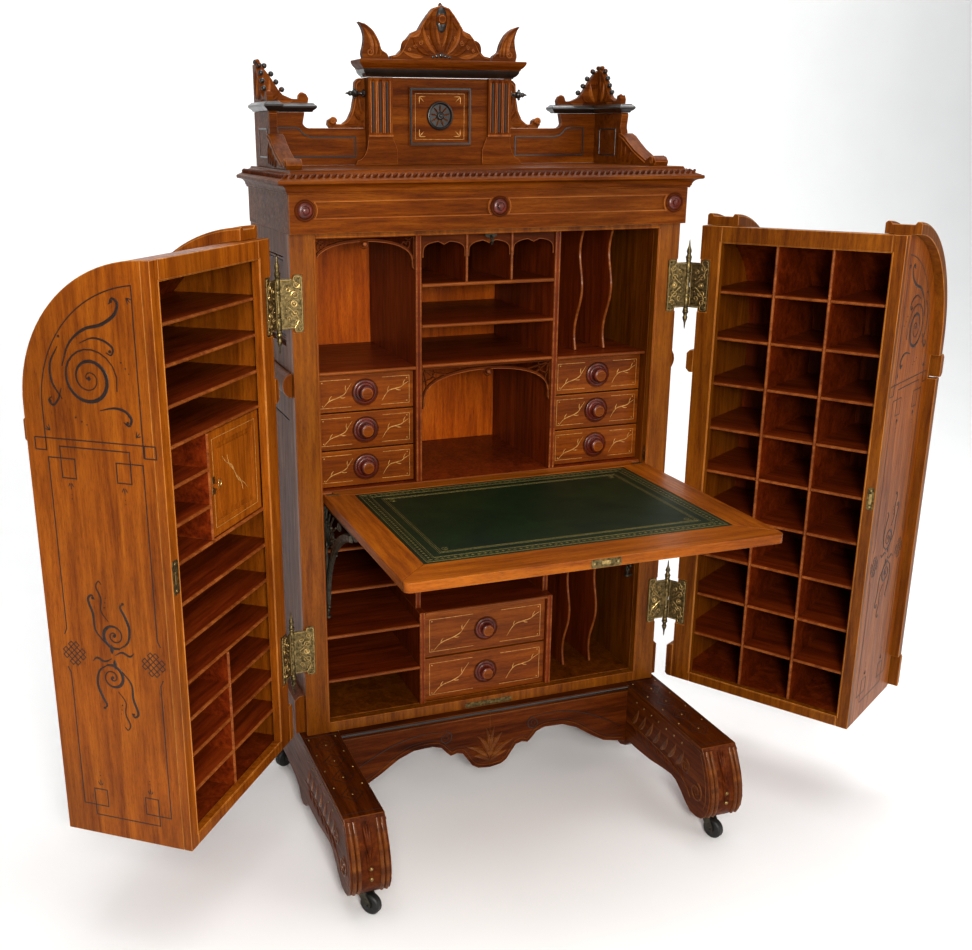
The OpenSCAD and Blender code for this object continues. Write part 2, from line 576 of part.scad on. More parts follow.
// the small cupboard's door, hung on pins at its left
module cupboard_door() color(honey) at_left() {
  difference() {
    bx([80, -32, cup_z[0] + 2], [cup_u - 5, -20, cup_z[1] - 9]);
    bx([108, -40, cup_z[0] + 30], [cup_u - 33, -28, cup_z[1] - 37]);
    bx([108, -24, cup_z[0] + 30], [cup_u - 33, -10, cup_z[1] - 37]);
    for (z = [cup_z[0] + 1, cup_z[1] - 17]) translate([86, -26, z]) cylinder(r = 2.06, h = 10);
  }
  translate([cup_u - 18, -20 + gap, 946]) rotate([-90, 0, 0]) cylinder(r1 = 4, r2 = 6, h = 12);
}
handle_u = door_u1 - 4;
handle_z = 790;
module door_handle() color(brass) at_right()
  translate([handle_u, -door_d - 27, handle_z]) rotate([90, 0, 0]) rotate_extrude()
    polygon([[0, 0], [12, 0], [12, 3], [5, 5], [4, 12], [8, 17], [12, 24], [13, 30], [9, 37],
      [4, 41], [3, 46], [0, 48]]);

// ---------------------------------------------------------------- board and stays
board_z = deck_z - board_t;
board_y = pivot_y - board_l;
tail_y = 23.5;
module writing_board() color(honey) difference() {
  union() {
    bx([-board_hw, board_y, board_z], [board_hw, pivot_y, deck_z]);
    bx([-378, pivot_y - 1, board_z], [378, tail_y, deck_z]);
    // rear corners, rounded under the pivot
    for (s = [-1, 1]) {
      bx([s * 390 - 12, pivot_y - 1, board_z + pivot_up], [s * 390 + 12, pivot_y + 4, deck_z]);
      translate([s * 390, pivot_y, board_z + pivot_up]) rotate([0, 90, 0])
        cylinder(r = pivot_up, h = 24, center = true);
    }
  }
  bx([-336, -478, deck_z - 2.5], [336, -14, deck_z + 1]);
  bx([-26, board_y - 1, board_z + 3], [26, board_y + 1.6, deck_z - 3]);
  for (s = [-1, 1]) translate([s * (open_hw - 21), pivot_y, board_z + pivot_up])
    rotate([0, s * 90, 0]) cylinder(r = 2.56, h = 22);
}
module writing_leather() color(green) bx([-335.7, -477.7, deck_z - 2.3], [335.7, -14.3, deck_z - 0.5]);
module board_lock() color(brass) bx([-25.7, board_y + 0.2, board_z + 3.3],
  [25.7, board_y + 1.4, deck_z - 3.3]);

// cast bracket: post, arm, curved brace and two bars, swinging on its post
arm = 258;
// points of the arch from the post up to the arm, or back down it
function brace(xe, w, z0, z1, back) = [for (i = [0:12]) let(a = 7.5 * (back ? 12 - i : i))
  [xe - w * cos(a) + 5 * cos(a), z0 + (z1 - z0) * sin(a)]];
function len_bar(a) = a > 50 ? 150 : a > 30 ? 112 : 86;
module bracket_right() color(iron) translate([bracket_x, bracket_y, 0]) rotate([0, 0, -90]) {
  h = bracket_z[1];
  b = bracket_z[0];
  difference() {
    union() {
      translate([0, 0, b]) cylinder(r = 5.5, h = h - b);
      bx([0, -4, h - 10], [arm, 4, h]);
      // arched brace, quarter of an oval
      front_plate(-4, 4, concat(brace(arm, arm, b + 10, h - 22, 0), [[arm, h - 5], [arm - 20, h - 5]],
        brace(arm - 20, arm - 14, b + 30, h - 5, 1), [[0, b + 30], [0, b + 10]]));
      for (a = [58, 36, 16]) translate([0, 0, h - 150]) rotate([0, -a, 0])
        bx([0, -2.5, -3], [len_bar(a), 2.5, 3]);
    }
    for (z = [b - 6, h - 24]) translate([0, 0, z - 7]) difference() {
      translate([0, 0, 0]) cylinder(r = 9, h = 7);
      translate([0, 0, -1]) cylinder(r = 3, h = 9);
    }
  }
  translate([0, 0, b - 14]) cylinder(r = 3, h = 16);
}
module right_bracket() bracket_right();
module left_bracket() mirror([1, 0, 0]) bracket_right();

// ---------------------------------------------------------------- drawers
module knob() rotate([90, 0, 0]) rotate_extrude()
  polygon([[0, 0], [18, 0], [18, 2.5], [14, 4], [6, 5], [6, 10], [13, 14], [14.5, 18], [12, 21],
           [0, 22]]);
module drawer(x0, x1, y0, z0, z1, l) {
  color(amber) bx([x0, y0, z0], [x1, y0 + 12, z1]);
  color(amber) {
    for (x = [x0 + 3, x1 - 11]) bx([x, y0 + 12 + gap, z0 + 2], [x + 8, y0 + l, z1 - 8]);
    bx([x0 + 11 + gap, y0 + l - 8, z0 + 2], [x1 - 11 - gap, y0 + l, z1 - 8]);
    bx([x0 + 11 + gap, y0 + 12 + gap, z0 + 2], [x1 - 11 - gap, y0 + l - 8 - gap, z0 + 7]);
  }
  color(red_brown) translate([(x0 + x1) / 2, y0 - gap, (z0 + z1) / 2]) knob();
}
module upper_drawer(s, k) {
  z = drawer_z0 + (3 - k) * drawer_pitch;
  x0 = s < 0 ? -open_hw + 1.5 : div_b + 1.5;
  drawer(x0, x0 + open_hw - div_b - 3, drawer_y, z, z + drawer_pitch - 3.5, drawer_l);
}
module low_drawer(k) drawer(-div_a + 1.5, div_a - 1.5, low_drawer_y,
  k == 1 ? low_z[1] + 2 : low_z[0], k == 1 ? low_z[2] - 2 : low_z[1] - 2.5, drawer_l + 30);

// drawn from the middle of the case's front; moved so that the origin lies under the middle
// of the whole piece with its doors open
translate([-16.6, 80.2, 0]) {
  case_shell();
  face_frame();
  side_mouldings();
  frieze();
  frieze_rosettes();
  cornice();
  partitions();
  shelves();
  pigeonholes();
  file_dividers();
  fretwork();
  gallery_walls();
  gallery_block();
  gallery_caps();
  pilasters();
  roundel();
  crest();
  acroteria();
  corner_crests();
  gallery_brackets();
  sled_legs();
  apron();
  case_hinges();
  case_brass();
  left_frame();
  color(honey) at_left() door_ends();  // left_ends
  color(honey) at_left() door_shell();  // left_shell
  at_left() left_shelves();
  at_left() left_mouldings();
  left_brass();
  cupboard_door();
  right_frame();
  color(honey) at_right() door_ends();  // right_ends
  color(honey) at_right() door_shell();  // right_shell
  at_right() right_grid();
  at_right() right_mouldings();
  right_brass();
  door_handle();
  writing_board();
  writing_leather();
  board_lock();
  left_bracket();
  right_bracket();
  upper_drawer(-1, 1);  // drawer_l1
  upper_drawer(-1, 2);  // drawer_l2
  upper_drawer(-1, 3);  // drawer_l3
  upper_drawer(1, 1);  // drawer_r1
  upper_drawer(1, 2);  // drawer_r2
  upper_drawer(1, 3);  // drawer_r3
  low_drawer(1);  // drawer_c1
  low_drawer(2);  // drawer_c2
  caster_at(-428, -340, -53) caster_fork();  // caster_fl
  caster_at(428, -340, -70) caster_fork();  // caster_fr
  caster_at(-436, 318, 205) caster_fork();  // caster_rl
  caster_at(436, 318, 60) caster_fork();  // caster_rr
  caster_at(-428, -340, -53) caster_wheel();  // wheel_fl
  caster_at(428, -340, -70) caster_wheel();  // wheel_fr
  caster_at(-436, 318, 205) caster_wheel();  // wheel_rl
  caster_at(436, 318, 60) caster_wheel();  // wheel_rr
}
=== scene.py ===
"""Cabinet secretary desk: the looks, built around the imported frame.

Lengths are in millimetres until Part.make(). The studio at the end is in metres.
"""
import json
import math

import bmesh
import bpy
from mathutils import Matrix, Vector

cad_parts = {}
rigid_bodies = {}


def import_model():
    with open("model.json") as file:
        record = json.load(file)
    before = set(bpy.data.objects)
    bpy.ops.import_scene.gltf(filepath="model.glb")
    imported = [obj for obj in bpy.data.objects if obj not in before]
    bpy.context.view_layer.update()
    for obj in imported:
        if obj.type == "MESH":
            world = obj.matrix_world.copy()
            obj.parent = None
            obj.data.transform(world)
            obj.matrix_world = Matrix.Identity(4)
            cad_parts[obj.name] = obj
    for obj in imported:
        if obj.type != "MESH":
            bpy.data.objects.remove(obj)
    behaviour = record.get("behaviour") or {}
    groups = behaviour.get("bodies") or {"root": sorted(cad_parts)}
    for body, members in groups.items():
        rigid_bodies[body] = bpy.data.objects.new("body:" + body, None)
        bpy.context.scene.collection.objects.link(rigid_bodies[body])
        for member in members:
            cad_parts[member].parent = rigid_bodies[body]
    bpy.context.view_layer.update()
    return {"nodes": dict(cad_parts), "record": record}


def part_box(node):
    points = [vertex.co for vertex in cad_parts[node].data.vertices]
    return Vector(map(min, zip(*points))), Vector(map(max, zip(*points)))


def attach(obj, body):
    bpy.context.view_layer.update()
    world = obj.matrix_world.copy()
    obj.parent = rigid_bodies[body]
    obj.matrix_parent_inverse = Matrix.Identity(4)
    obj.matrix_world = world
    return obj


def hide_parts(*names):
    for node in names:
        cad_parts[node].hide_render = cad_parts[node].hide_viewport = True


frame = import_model()
MM = 0.001
SHIFT = Vector((-16.6, 80.2, 0))    # from the middle of the case's front to the frame's origin
BODY = {n: b for b, ns in frame["record"]["behaviour"]["bodies"].items() for n in ns}

# ------------------------------------------------------------------ dimensions shared with the CAD
CASE_HW, OPEN_HW, CASE_D = 460, 404, 395
DECK_Z, OPEN_Z1, TOP_Z = 835, 1391, 1527
HINGE_X = 488
OPEN_L, OPEN_R = 127.8, 121.7
U0, U1 = 28, 487.5
DOOR_D, DOOR_Z0, DOOR_Z1, ROUND_R = 281, 256, 1397, 265
ROUND_V, ROUND_Z = DOOR_D - ROUND_R, DOOR_Z1 - ROUND_R
HINGE_Z = (1260, 467)


# ------------------------------------------------------------------ materials
def new_mat(name):
    m = bpy.data.materials.new(name)
    m.use_nodes = True
    nt = m.node_tree
    nt.nodes.clear()
    out = nt.nodes.new("ShaderNodeOutputMaterial")
    b = nt.nodes.new("ShaderNodeBsdfPrincipled")
    nt.links.new(b.outputs[0], out.inputs[0])
    return m, nt, b


def noise(nt, vec, scale, detail=4, rough=0.5, distort=0.0):
    n = nt.nodes.new("ShaderNodeTexNoise")
    n.inputs["Scale"].default_value = scale
    n.inputs["Detail"].default_value = detail
    n.inputs["Roughness"].default_value = rough
    n.inputs["Distortion"].default_value = distort
    if vec is not None:
        nt.links.new(vec, n.inputs["Vector"])
    return n.outputs["Fac"]


def ramp(nt, fac, stops):
    r = nt.nodes.new("ShaderNodeValToRGB")
    e = r.color_ramp.elements
    while len(e) < len(stops):
        e.new(0.5)
    for el, (p, c) in zip(e, stops):
        el.position = p
        el.color = (*c, 1) if len(c) == 3 else c
    nt.links.new(fac, r.inputs[0])
    return r.outputs[0]


def mathn(nt, op, a, b):
    n = nt.nodes.new("ShaderNodeMath")
    n.operation = op
    for i, v in enumerate((a, b)):
        if isinstance(v, (int, float)):
            n.inputs[i].default_value = v
        else:
            nt.links.new(v, n.inputs[i])
    return n.outputs[0]


def mixc(nt, mode, fac, a, b):
    n = nt.nodes.new("ShaderNodeMix")
    n.data_type = "RGBA"
    n.blend_type = mode
    for i, v in ((0, fac), (6, a), (7, b)):
        if isinstance(v, (int, float)):
            n.inputs[i].default_value = v
        elif isinstance(v, tuple):
            n.inputs[i].default_value = (*v, 1)
        else:
            nt.links.new(v, n.inputs[i])
    return n.outputs[2]


def bump(nt, b, height, strength, dist):
    n = nt.nodes.new("ShaderNodeBump")
    n.inputs["Strength"].default_value = strength
    n.inputs["Distance"].default_value = dist
    nt.links.new(height, n.inputs["Height"])
    nt.links.new(n.outputs[0], b.inputs["Normal"])


def grey(a):
    return (a, a, a)


def wood(name, dark, mid, light, grain="z", turn=0.0, rough=0.34, coat=0.05, island=False, figure=1.0,
         spec=0.15):
    """Old shellacked wood: broad figure, streaks and pores drawn out along the grain."""
    m, nt, b = new_mat(name)
    src = nt.nodes.new("ShaderNodeTexCoord").outputs["Object"]
    if island:
        geo = nt.nodes.new("ShaderNodeNewGeometry")
        sc = nt.nodes.new("ShaderNodeVectorMath")
        sc.operation = "MULTIPLY_ADD"
        nt.links.new(geo.outputs["Random Per Island"], sc.inputs[0])
        sc.inputs[1].default_value = (3.1, 5.3, 4.7)
        nt.links.new(src, sc.inputs[2])
        src = sc.outputs[0]
    mp = nt.nodes.new("ShaderNodeMapping")
    mp.vector_type = "TEXTURE"
    mp.inputs["Rotation"].default_value = (0, 0, math.radians(turn))
    across = 1 / 13
    mp.inputs["Scale"].default_value = {"x": (1, across, across), "y": (across, 1, across),
                                        "z": (across, across, 1)}[grain]
    nt.links.new(src, mp.inputs["Vector"])
    v = mp.outputs[0]
    fig = noise(nt, v, 1.9 * figure, 3, 0.5, 1.6)
    streak = noise(nt, v, 11, 7, 0.66, 0.25)
    pores = noise(nt, v, 75, 3, 0.6)
    cloud = noise(nt, src, 3.2, 3, 0.5)
    f = mathn(nt, "ADD", mathn(nt, "MULTIPLY", fig, 0.5), mathn(nt, "MULTIPLY", streak, 0.5))
    col = ramp(nt, f, [(0.34, dark), (0.5, mid), (0.64, light)])
    col = mixc(nt, "MULTIPLY", 0.55, col, ramp(nt, pores, [(0.36, grey(0.42)), (0.47, grey(1.0))]))
    col = mixc(nt, "MULTIPLY", 0.5, col, ramp(nt, cloud, [(0.34, grey(0.62)), (0.62, grey(1.12))]))
    nt.links.new(col, b.inputs["Base Color"])
    nt.links.new(ramp(nt, streak, [(0.3, grey(rough + 0.13)), (0.7, grey(rough - 0.05))]),
                 b.inputs["Roughness"])
    b.inputs["Coat Weight"].default_value = coat
    b.inputs["Coat Roughness"].default_value = 0.16
    b.inputs["Specular IOR Level"].default_value = spec
    h = mathn(nt, "ADD", mathn(nt, "MULTIPLY", pores, 0.7), mathn(nt, "MULTIPLY", streak, 0.5))
    bump(nt, b, h, 0.22, 0.0005)
    return m


def paint(name, low, high, rough=0.35, metallic=0.0, coat=0.0, scale=60, bumpy=0.1, depth=0.0004):
    """Metal, turned wood or inlay with a mottled colour."""
    m, nt, b = new_mat(name)
    src = nt.nodes.new("ShaderNodeTexCoord").outputs["Object"]
    n = noise(nt, src, scale, 6, 0.6, 0.4)
    nt.links.new(ramp(nt, n, [(0.35, low), (0.65, high)]), b.inputs["Base Color"])
    nt.links.new(ramp(nt, n, [(0.3, grey(rough + 0.14)), (0.7, grey(rough))]), b.inputs["Roughness"])
    b.inputs["Metallic"].default_value = metallic
    b.inputs["Coat Weight"].default_value = coat
    b.inputs["Coat Roughness"].default_value = 0.12
    bump(nt, b, noise(nt, src, scale * 9, 4, 0.6), bumpy, depth)
    return m


def hide(name, low, high):
    """Worn tooled leather: pebble grain over a slow change of tone."""
    m, nt, b = new_mat(name)
    src = nt.nodes.new("ShaderNodeTexCoord").outputs["Object"]
    slow = noise(nt, src, 7, 5, 0.6, 0.5)
    vor = nt.nodes.new("ShaderNodeTexVoronoi")
    vor.feature = "DISTANCE_TO_EDGE"
    vor.inputs["Scale"].default_value = 700
    nt.links.new(src, vor.inputs["Vector"])
    cell = vor.outputs["Distance"]
    col = ramp(nt, slow, [(0.32, low), (0.66, high)])
    col = mixc(nt, "MULTIPLY", 0.6, col, ramp(nt, cell, [(0.0, grey(0.55)), (0.12, grey(1.0))]))
    nt.links.new(col, b.inputs["Base Color"])
    nt.links.new(ramp(nt, slow, [(0.3, grey(0.56)), (0.7, grey(0.44))]), b.inputs["Roughness"])
    b.inputs["Specular IOR Level"].default_value = 0.2
    bump(nt, b, cell, 0.35, 0.0006)
    return m


HONEY = ((0.14, 0.03, 0.0015), (0.26, 0.068, 0.003), (0.35, 0.105, 0.006))
CASE = ((0.065, 0.0125, 0.001), (0.14, 0.033, 0.0016), (0.205, 0.058, 0.0035))
STILE = ((0.09, 0.02, 0.0012), (0.18, 0.051, 0.0022), (0.25, 0.08, 0.004))
RUB = ((0.17, 0.042, 0.004), (0.27, 0.078, 0.009), (0.36, 0.12, 0.018))
# The inner tone on the next line is painted light: far paler than the case wood, for the light that falls into
# the compartments.
PAINTED_LIGHT_INSIDE = ((0.24, 0.042, 0.002), (0.44, 0.092, 0.004), (0.55, 0.14, 0.008))
WORN = ((0.24, 0.08, 0.01), (0.38, 0.14, 0.022), (0.50, 0.21, 0.045))
RED = ((0.065, 0.0075, 0.0012), (0.16, 0.021, 0.0022), (0.24, 0.04, 0.0045))
ORANGE = ((0.09, 0.017, 0.001), (0.185, 0.042, 0.0018), (0.26, 0.068, 0.0035))
DEEP = ((0.035, 0.0065, 0.001), (0.085, 0.0165, 0.0016), (0.14, 0.033, 0.0035))
M = {}
for key, tones, kw in (
        ("honey_z", HONEY, {}), ("honey_x", HONEY, {"grain": "x"}), ("honey_y", HONEY, {"grain": "y"}),
        ("case_z", CASE, {}), ("case_x", CASE, {"grain": "x"}), ("case_y", CASE, {"grain": "y"}),
        ("stile_z", STILE, {}), ("rub_z", RUB, {}), ("rub_x", RUB, {"grain": "x"}), ("inside_z", PAINTED_LIGHT_INSIDE, {}),
        ("worn_z", WORN, {}), ("worn_x", WORN, {"grain": "x"}),
        ("red_x", RED, {"grain": "x"}), ("red_z", RED, {}),
        ("red_l", RED, {"grain": "x", "turn": -OPEN_L}), ("red_r", RED, {"grain": "x", "turn": OPEN_R}),
        ("orange_x", ORANGE, {"grain": "x"}),
        ("deep_x", DEEP, {"grain": "x"}), ("deep_y", DEEP, {"grain": "y"})):
    M[key] = wood(key, *tones, **kw, **({"spec": 0.07, "coat": 0.0} if tones in (CASE, DEEP) else {}))
M["edge"] = wood("edge", (0.13, 0.03, 0.005), (0.23, 0.062, 0.011), (0.33, 0.105, 0.024), grain="x")
M["carved"] = wood("carved", (0.06, 0.014, 0.0016), (0.13, 0.036, 0.004), (0.21, 0.068, 0.009), grain="x",
                   rough=0.26, coat=0.12)
M["black"] = paint("black", (0.006, 0.004, 0.003), (0.02, 0.013, 0.009), 0.28, coat=0.4, scale=40)
M["line"] = paint("line", (0.009, 0.003, 0.0012), (0.024, 0.007, 0.002), 0.4, coat=0.05, scale=90)
M["gilt"] = paint("gilt", (0.3, 0.14, 0.03), (0.6, 0.33, 0.1), 0.36, metallic=0.25, scale=120)
M["tool"] = paint("tool", (0.09, 0.085, 0.02), (0.30, 0.22, 0.07), 0.4, metallic=0.5, scale=260)
M["knob"] = paint("knob", (0.045, 0.005, 0.0012), (0.13, 0.014, 0.003), 0.3, coat=0.1, scale=55)
M["brass"] = paint("brass", (0.05, 0.036, 0.014), (0.26, 0.19, 0.08), 0.34, metallic=0.9, scale=150,
                   bumpy=0.35)
M["bright"] = paint("bright", (0.3, 0.2, 0.07), (0.62, 0.45, 0.2), 0.28, metallic=1.0, scale=120)
M["iron"] = paint("iron", (0.022, 0.019, 0.013), (0.075, 0.065, 0.045), 0.42, metallic=0.55,
                  scale=110, bumpy=0.4)
M["wheel"] = paint("wheel", (0.006, 0.006, 0.006), (0.02, 0.018, 0.016), 0.45, scale=90)
M["stud"] = paint("stud", (0.12, 0.07, 0.02), (0.34, 0.22, 0.08), 0.3, metallic=0.8, scale=200)
M["leather"] = hide("leather", (0.0025, 0.0095, 0.0025), (0.0065, 0.021, 0.005))


# ------------------------------------------------------------------ shapes, as (vertices, faces)
def cosd(a):
    return math.cos(math.radians(a))


def sind(a):
    return math.sin(math.radians(a))


def box(a, b):
    v = [(x, y, z) for x in (a[0], b[0]) for y in (a[1], b[1]) for z in (a[2], b[2])]
    return v, [(0, 1, 3, 2), (4, 6, 7, 5), (0, 4, 5, 1), (2, 3, 7, 6), (0, 2, 6, 4), (1, 5, 7, 3)]


class Plane:
    """A flat surface: (a, b) on it and h above it, to a point."""
    def __init__(self, o, ea, eb, n):
        self.o, self.ea, self.eb, self.n = (Vector(t) for t in (o, ea, eb, n))

    def __call__(self, a, b, h=0.0):
        return self.o + self.ea * a + self.eb * b + self.n * h


def facing(y, n=-1):
    """The plane at depth y that faces the front, or the back with n=1, in (x, z)."""
    return Plane((0, y, 0), (1, 0, 0), (0, 0, 1), (0, n, 0))


def flank(x, n):
    """The plane at x that faces +X, or -X with n=-1, in (y, z)."""
    return Plane((x, 0, 0), (0, 1, 0), (0, 0, 1), (n, 0, 0))


def level(z):
    """The plane at height z that faces up, in (x, y)."""
    return Plane((0, 0, z), (1, 0, 0), (0, 1, 0), (0, 0, 1))


def loft(rings, closed=False):
    """A solid through rings of as many points each: closed on itself, or by flat ends."""
    n, m = len(rings[0]), len(rings)
    f = [(n * i + k, n * i + (k + 1) % n, n * ((i + 1) % m) + (k + 1) % n, n * ((i + 1) % m) + k)
         for i in range(m if closed else m - 1) for k in range(n)]
    if not closed:
        f += [tuple(range(n))[::-1], tuple(range(n * (m - 1), n * m))]
    return [p for r in rings for p in r], f


def prism(pl, pts, h0, h1):
    return loft([[pl(a, b, h) for a, b in pts] for h in (h0, h1)])


def ribbon(pl, pts, w, h=0.5, closed=False, sink=0.3):
    """A flat line of width w (a number, or one for each point) that stands h proud of a plane."""
    n = len(pts)
    ws = [w] * n if isinstance(w, (int, float)) else w
    rings = []
    for i, at in enumerate(pts):
        c = Vector(at)
        p = Vector(pts[i - 1]) if (i or closed) else None
        q = Vector(pts[(i + 1) % n]) if (i < n - 1 or closed) else None
        d0 = (c - p).normalized() if p is not None else (q - c).normalized()
        d1 = (q - c).normalized() if q is not None else d0
        t = d0 + d1
        t = t.normalized() if t.length > 1e-6 else d1
        s = Vector((-t.y, t.x)) * (ws[i] / 2 / max(0.35, abs(t.dot(d1))))
        rings.append([pl(e.x, e.y, up) for e, up in ((c + s, -sink), (c + s * 0.72, h),
                                                     (c - s * 0.72, h), (c - s, -sink))])
    return loft(rings, closed)


def tube(pts, r, n=8, closed=False):
    """A round wire along 3-D points, with one radius or one for each point."""
    pts = [Vector(p) for p in pts]
    m = len(pts)
    rs = [r] * m if isinstance(r, (int, float)) else r
    rings, up = [], None
    for i, p in enumerate(pts):
        a = pts[i - 1] if (i or closed) else p
        b = pts[(i + 1) % m] if (i < m - 1 or closed) else p
        t = (b - a).normalized()
        if up is None:
            up = t.orthogonal()
        up = (up - t * up.dot(t)).normalized()
        side = t.cross(up)
        rings.append([p + (up * math.cos(2 * math.pi * k / n) + side * math.sin(2 * math.pi * k / n)) * rs[i]
                      for k in range(n)])
    return loft(rings, closed)


def lathe(pl, a, b, prof, n=32):
    """Turns (radius, height) points about the plane's normal at (a, b). The ends are at radius 0."""
    v, f, rows = [], [], []
    for r, h in prof:
        if r < 1e-6:
            rows.append([len(v)])
            v.append(pl(a, b, h))
        else:
            rows.append(list(range(len(v), len(v) + n)))
            v += [pl(a + r * math.cos(2 * math.pi * k / n), b + r * math.sin(2 * math.pi * k / n), h)
                  for k in range(n)]
    for p, q in zip(rows, rows[1:]):
        for k in range(n):
            k2 = (k + 1) % n
            if len(p) == 1 and len(q) > 1:
                f.append((p[0], q[k2], q[k]))
            elif len(q) == 1 and len(p) > 1:
                f.append((p[k], p[k2], q[0]))
            elif len(p) > 1:
                f.append((p[k], p[k2], q[k2], q[k]))
    return v, f


def ball(c, r, n=12):
    prof = [(r * math.sin(math.pi * i / (n // 2)), r * -math.cos(math.pi * i / (n // 2)))
            for i in range(n // 2 + 1)]
    return lathe(Plane(c, (1, 0, 0), (0, 1, 0), (0, 0, 1)), 0, 0, prof, n)


def leaf(pl, p, q, w, h, bend=0.0, n=10):
    """A carved leaf from p to q with a raised midrib."""
    p, q = Vector(p), Vector(q)
    d = q - p
    s = Vector((-d.y, d.x)).normalized()
    rings = []
    for i in range(n + 1):
        t = i / n
        c = p + d * t + s * (bend * 4 * t * (1 - t))
        half = w / 2 * (math.sin(math.pi * t ** 0.8) ** 0.85 + 0.03)
        k = math.sin(math.pi * t) ** 0.6
        across = ((half, -0.4), (half * 0.55, h * 0.75 * k), (0, h * 0.45 * k),
                  (-half * 0.55, h * 0.75 * k), (-half, -0.4))
        rings.append([pl(*(c + s * off), up) for off, up in across])
    return loft(rings)


def spiral(ca, cb, r0, r1, turns, start=0.0, n=40, sign=1):
    """Points of a spiral about (ca, cb), from radius r0 in to r1."""
    out = []
    for i in range(n + 1):
        t = (i / n) ** 0.85
        r, a = r0 + (r1 - r0) * t, math.radians(start) + sign * 2 * math.pi * turns * t
        out.append((ca + r * math.cos(a), cb + r * math.sin(a)))
    return out


def smooth(pts, k=6):
    """Points of a Catmull-Rom curve through pts."""
    out = []
    p = [Vector(x) for x in pts]
    p = [p[0] * 2 - p[1]] + p + [p[-1] * 2 - p[-2]]
    for i in range(1, len(p) - 2):
        for j in range(k):
            t = j / k
            out.append(tuple(0.5 * (p[i] * 2 + (p[i + 1] - p[i - 1]) * t
                             + (p[i - 1] * 2 - p[i] * 5 + p[i + 1] * 4 - p[i + 2]) * t * t
                             + (p[i] * 3 - p[i - 1] - p[i + 1] * 3 + p[i + 2]) * t ** 3)))
    return out + [tuple(p[-2])]


def swell(n, w, tip=0.25):
    """Widths of a stroke that is thick in the middle."""
    return [w * (tip + (1 - tip) * math.sin(math.pi * i / (n - 1))) for i in range(n)]


def moved(shape, m):
    return [m @ Vector(p) for p in shape[0]], shape[1]


MIRROR = Matrix.Scale(-1, 4, (1, 0, 0))


def door_place(side):
    if side == "left":
        return Matrix.Translation((-HINGE_X, 0, 0)) @ Matrix.Rotation(math.radians(-OPEN_L), 4, "Z")
    return (Matrix.Translation((HINGE_X, 0, 0)) @ Matrix.Rotation(math.radians(OPEN_R), 4, "Z")
            @ MIRROR)


class Part:
    """Gathers closed shapes into one piece that rides on a body."""
    def __init__(self, name, body, mats, place=None):
        self.name, self.body, self.mats = name, body, mats
        self.place = place or Matrix.Identity(4)
        self.v, self.f, self.m = [], [], []

    def add(self, shape, mat=0, both=False):
        for s in ((shape, moved(shape, MIRROR)) if both else (shape,)):
            n = len(self.v)
            self.v += [self.place @ Vector(p) for p in s[0]]
            self.f += [tuple(i + n for i in f) for f in s[1]]
            self.m += [mat] * len(s[1])
        return self

    def make(self, bevel=0.0, segs=2, angle=38, replaces=(), worn=None):
        me = bpy.data.meshes.new(self.name)
        me.from_pydata([(p + SHIFT) * MM for p in self.v], [], self.f)
        for m in self.mats:
            me.materials.append(M[m])
        for p, m in zip(me.polygons, self.m):
            p.material_index = m
        bm = bmesh.new()
        bm.from_mesh(me)
        bmesh.ops.recalc_face_normals(bm, faces=bm.faces)
        bm.to_mesh(me)
        bm.free()
        return finish_piece(self.name, me, self.body, bevel, segs, angle, replaces, worn)


def finish_piece(name, me, body, bevel, segs, angle, replaces, worn=None):
    for p in me.polygons:
        p.use_smooth = True
    if not bevel:
        me.set_sharp_from_angle(angle=math.radians(angle))
    ob = bpy.data.objects.new(name, me)
    scene_objects.link(ob)
    if bevel:
        mod = ob.modifiers.new("edges", "BEVEL")
        mod.width = bevel * MM
        mod.segments = segs
        mod.limit_method = "ANGLE"
        mod.angle_limit = math.radians(angle)
        mod.harden_normals = True
        if worn is not None:
            mod.material = worn
        mod2 = ob.modifiers.new("flat", "WEIGHTED_NORMAL")
        mod2.keep_sharp = True
    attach(ob, body)
    if replaces:
        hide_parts(*replaces)
    return ob


scene_objects = bpy.context.scene.collection.objects


def soften(node, mats, width=1.2, segs=2, angle=38, worn=1, pick=None, top=None):
    """The CAD node's own shape with its edges eased, and lighter worn wood along them."""
    me = frame["nodes"][node].data.copy()
    me.name = "soft_" + node
    bm = bmesh.new()
    bm.from_mesh(me)
    if top:
        bmesh.ops.delete(bm, geom=[v for v in bm.verts if v.co.z > top * MM], context="VERTS")
    bmesh.ops.remove_doubles(bm, verts=bm.verts, dist=2e-6)
    bmesh.ops.dissolve_limit(bm, angle_limit=math.radians(0.6), verts=bm.verts, edges=bm.edges)
    for f in bm.faces:
        f.material_index = pick(f) if pick else 0
    bm.to_mesh(me)
    bm.free()
    me.materials.clear()
    for m in mats:
        me.materials.append(M[m])
    return finish_piece("soft_" + node, me, BODY[node], width, segs, angle, (node,),
                        worn if len(mats) > 1 else None)


# ------------------------------------------------------------------ case
def painted_light_faces(f):
    """Inner faces of the case, which take the pale inner tone: painted light for the light that falls into the
    compartments.
    """
    c = f.calc_center_median() / MM - SHIFT
    return 2 if abs(c.x) < 440 and -4 < c.y < 384 and 258 < c.z < 1400 and f.normal.dot(
        Vector((-c.x, 190 - c.y, 0))) > 0 else 0


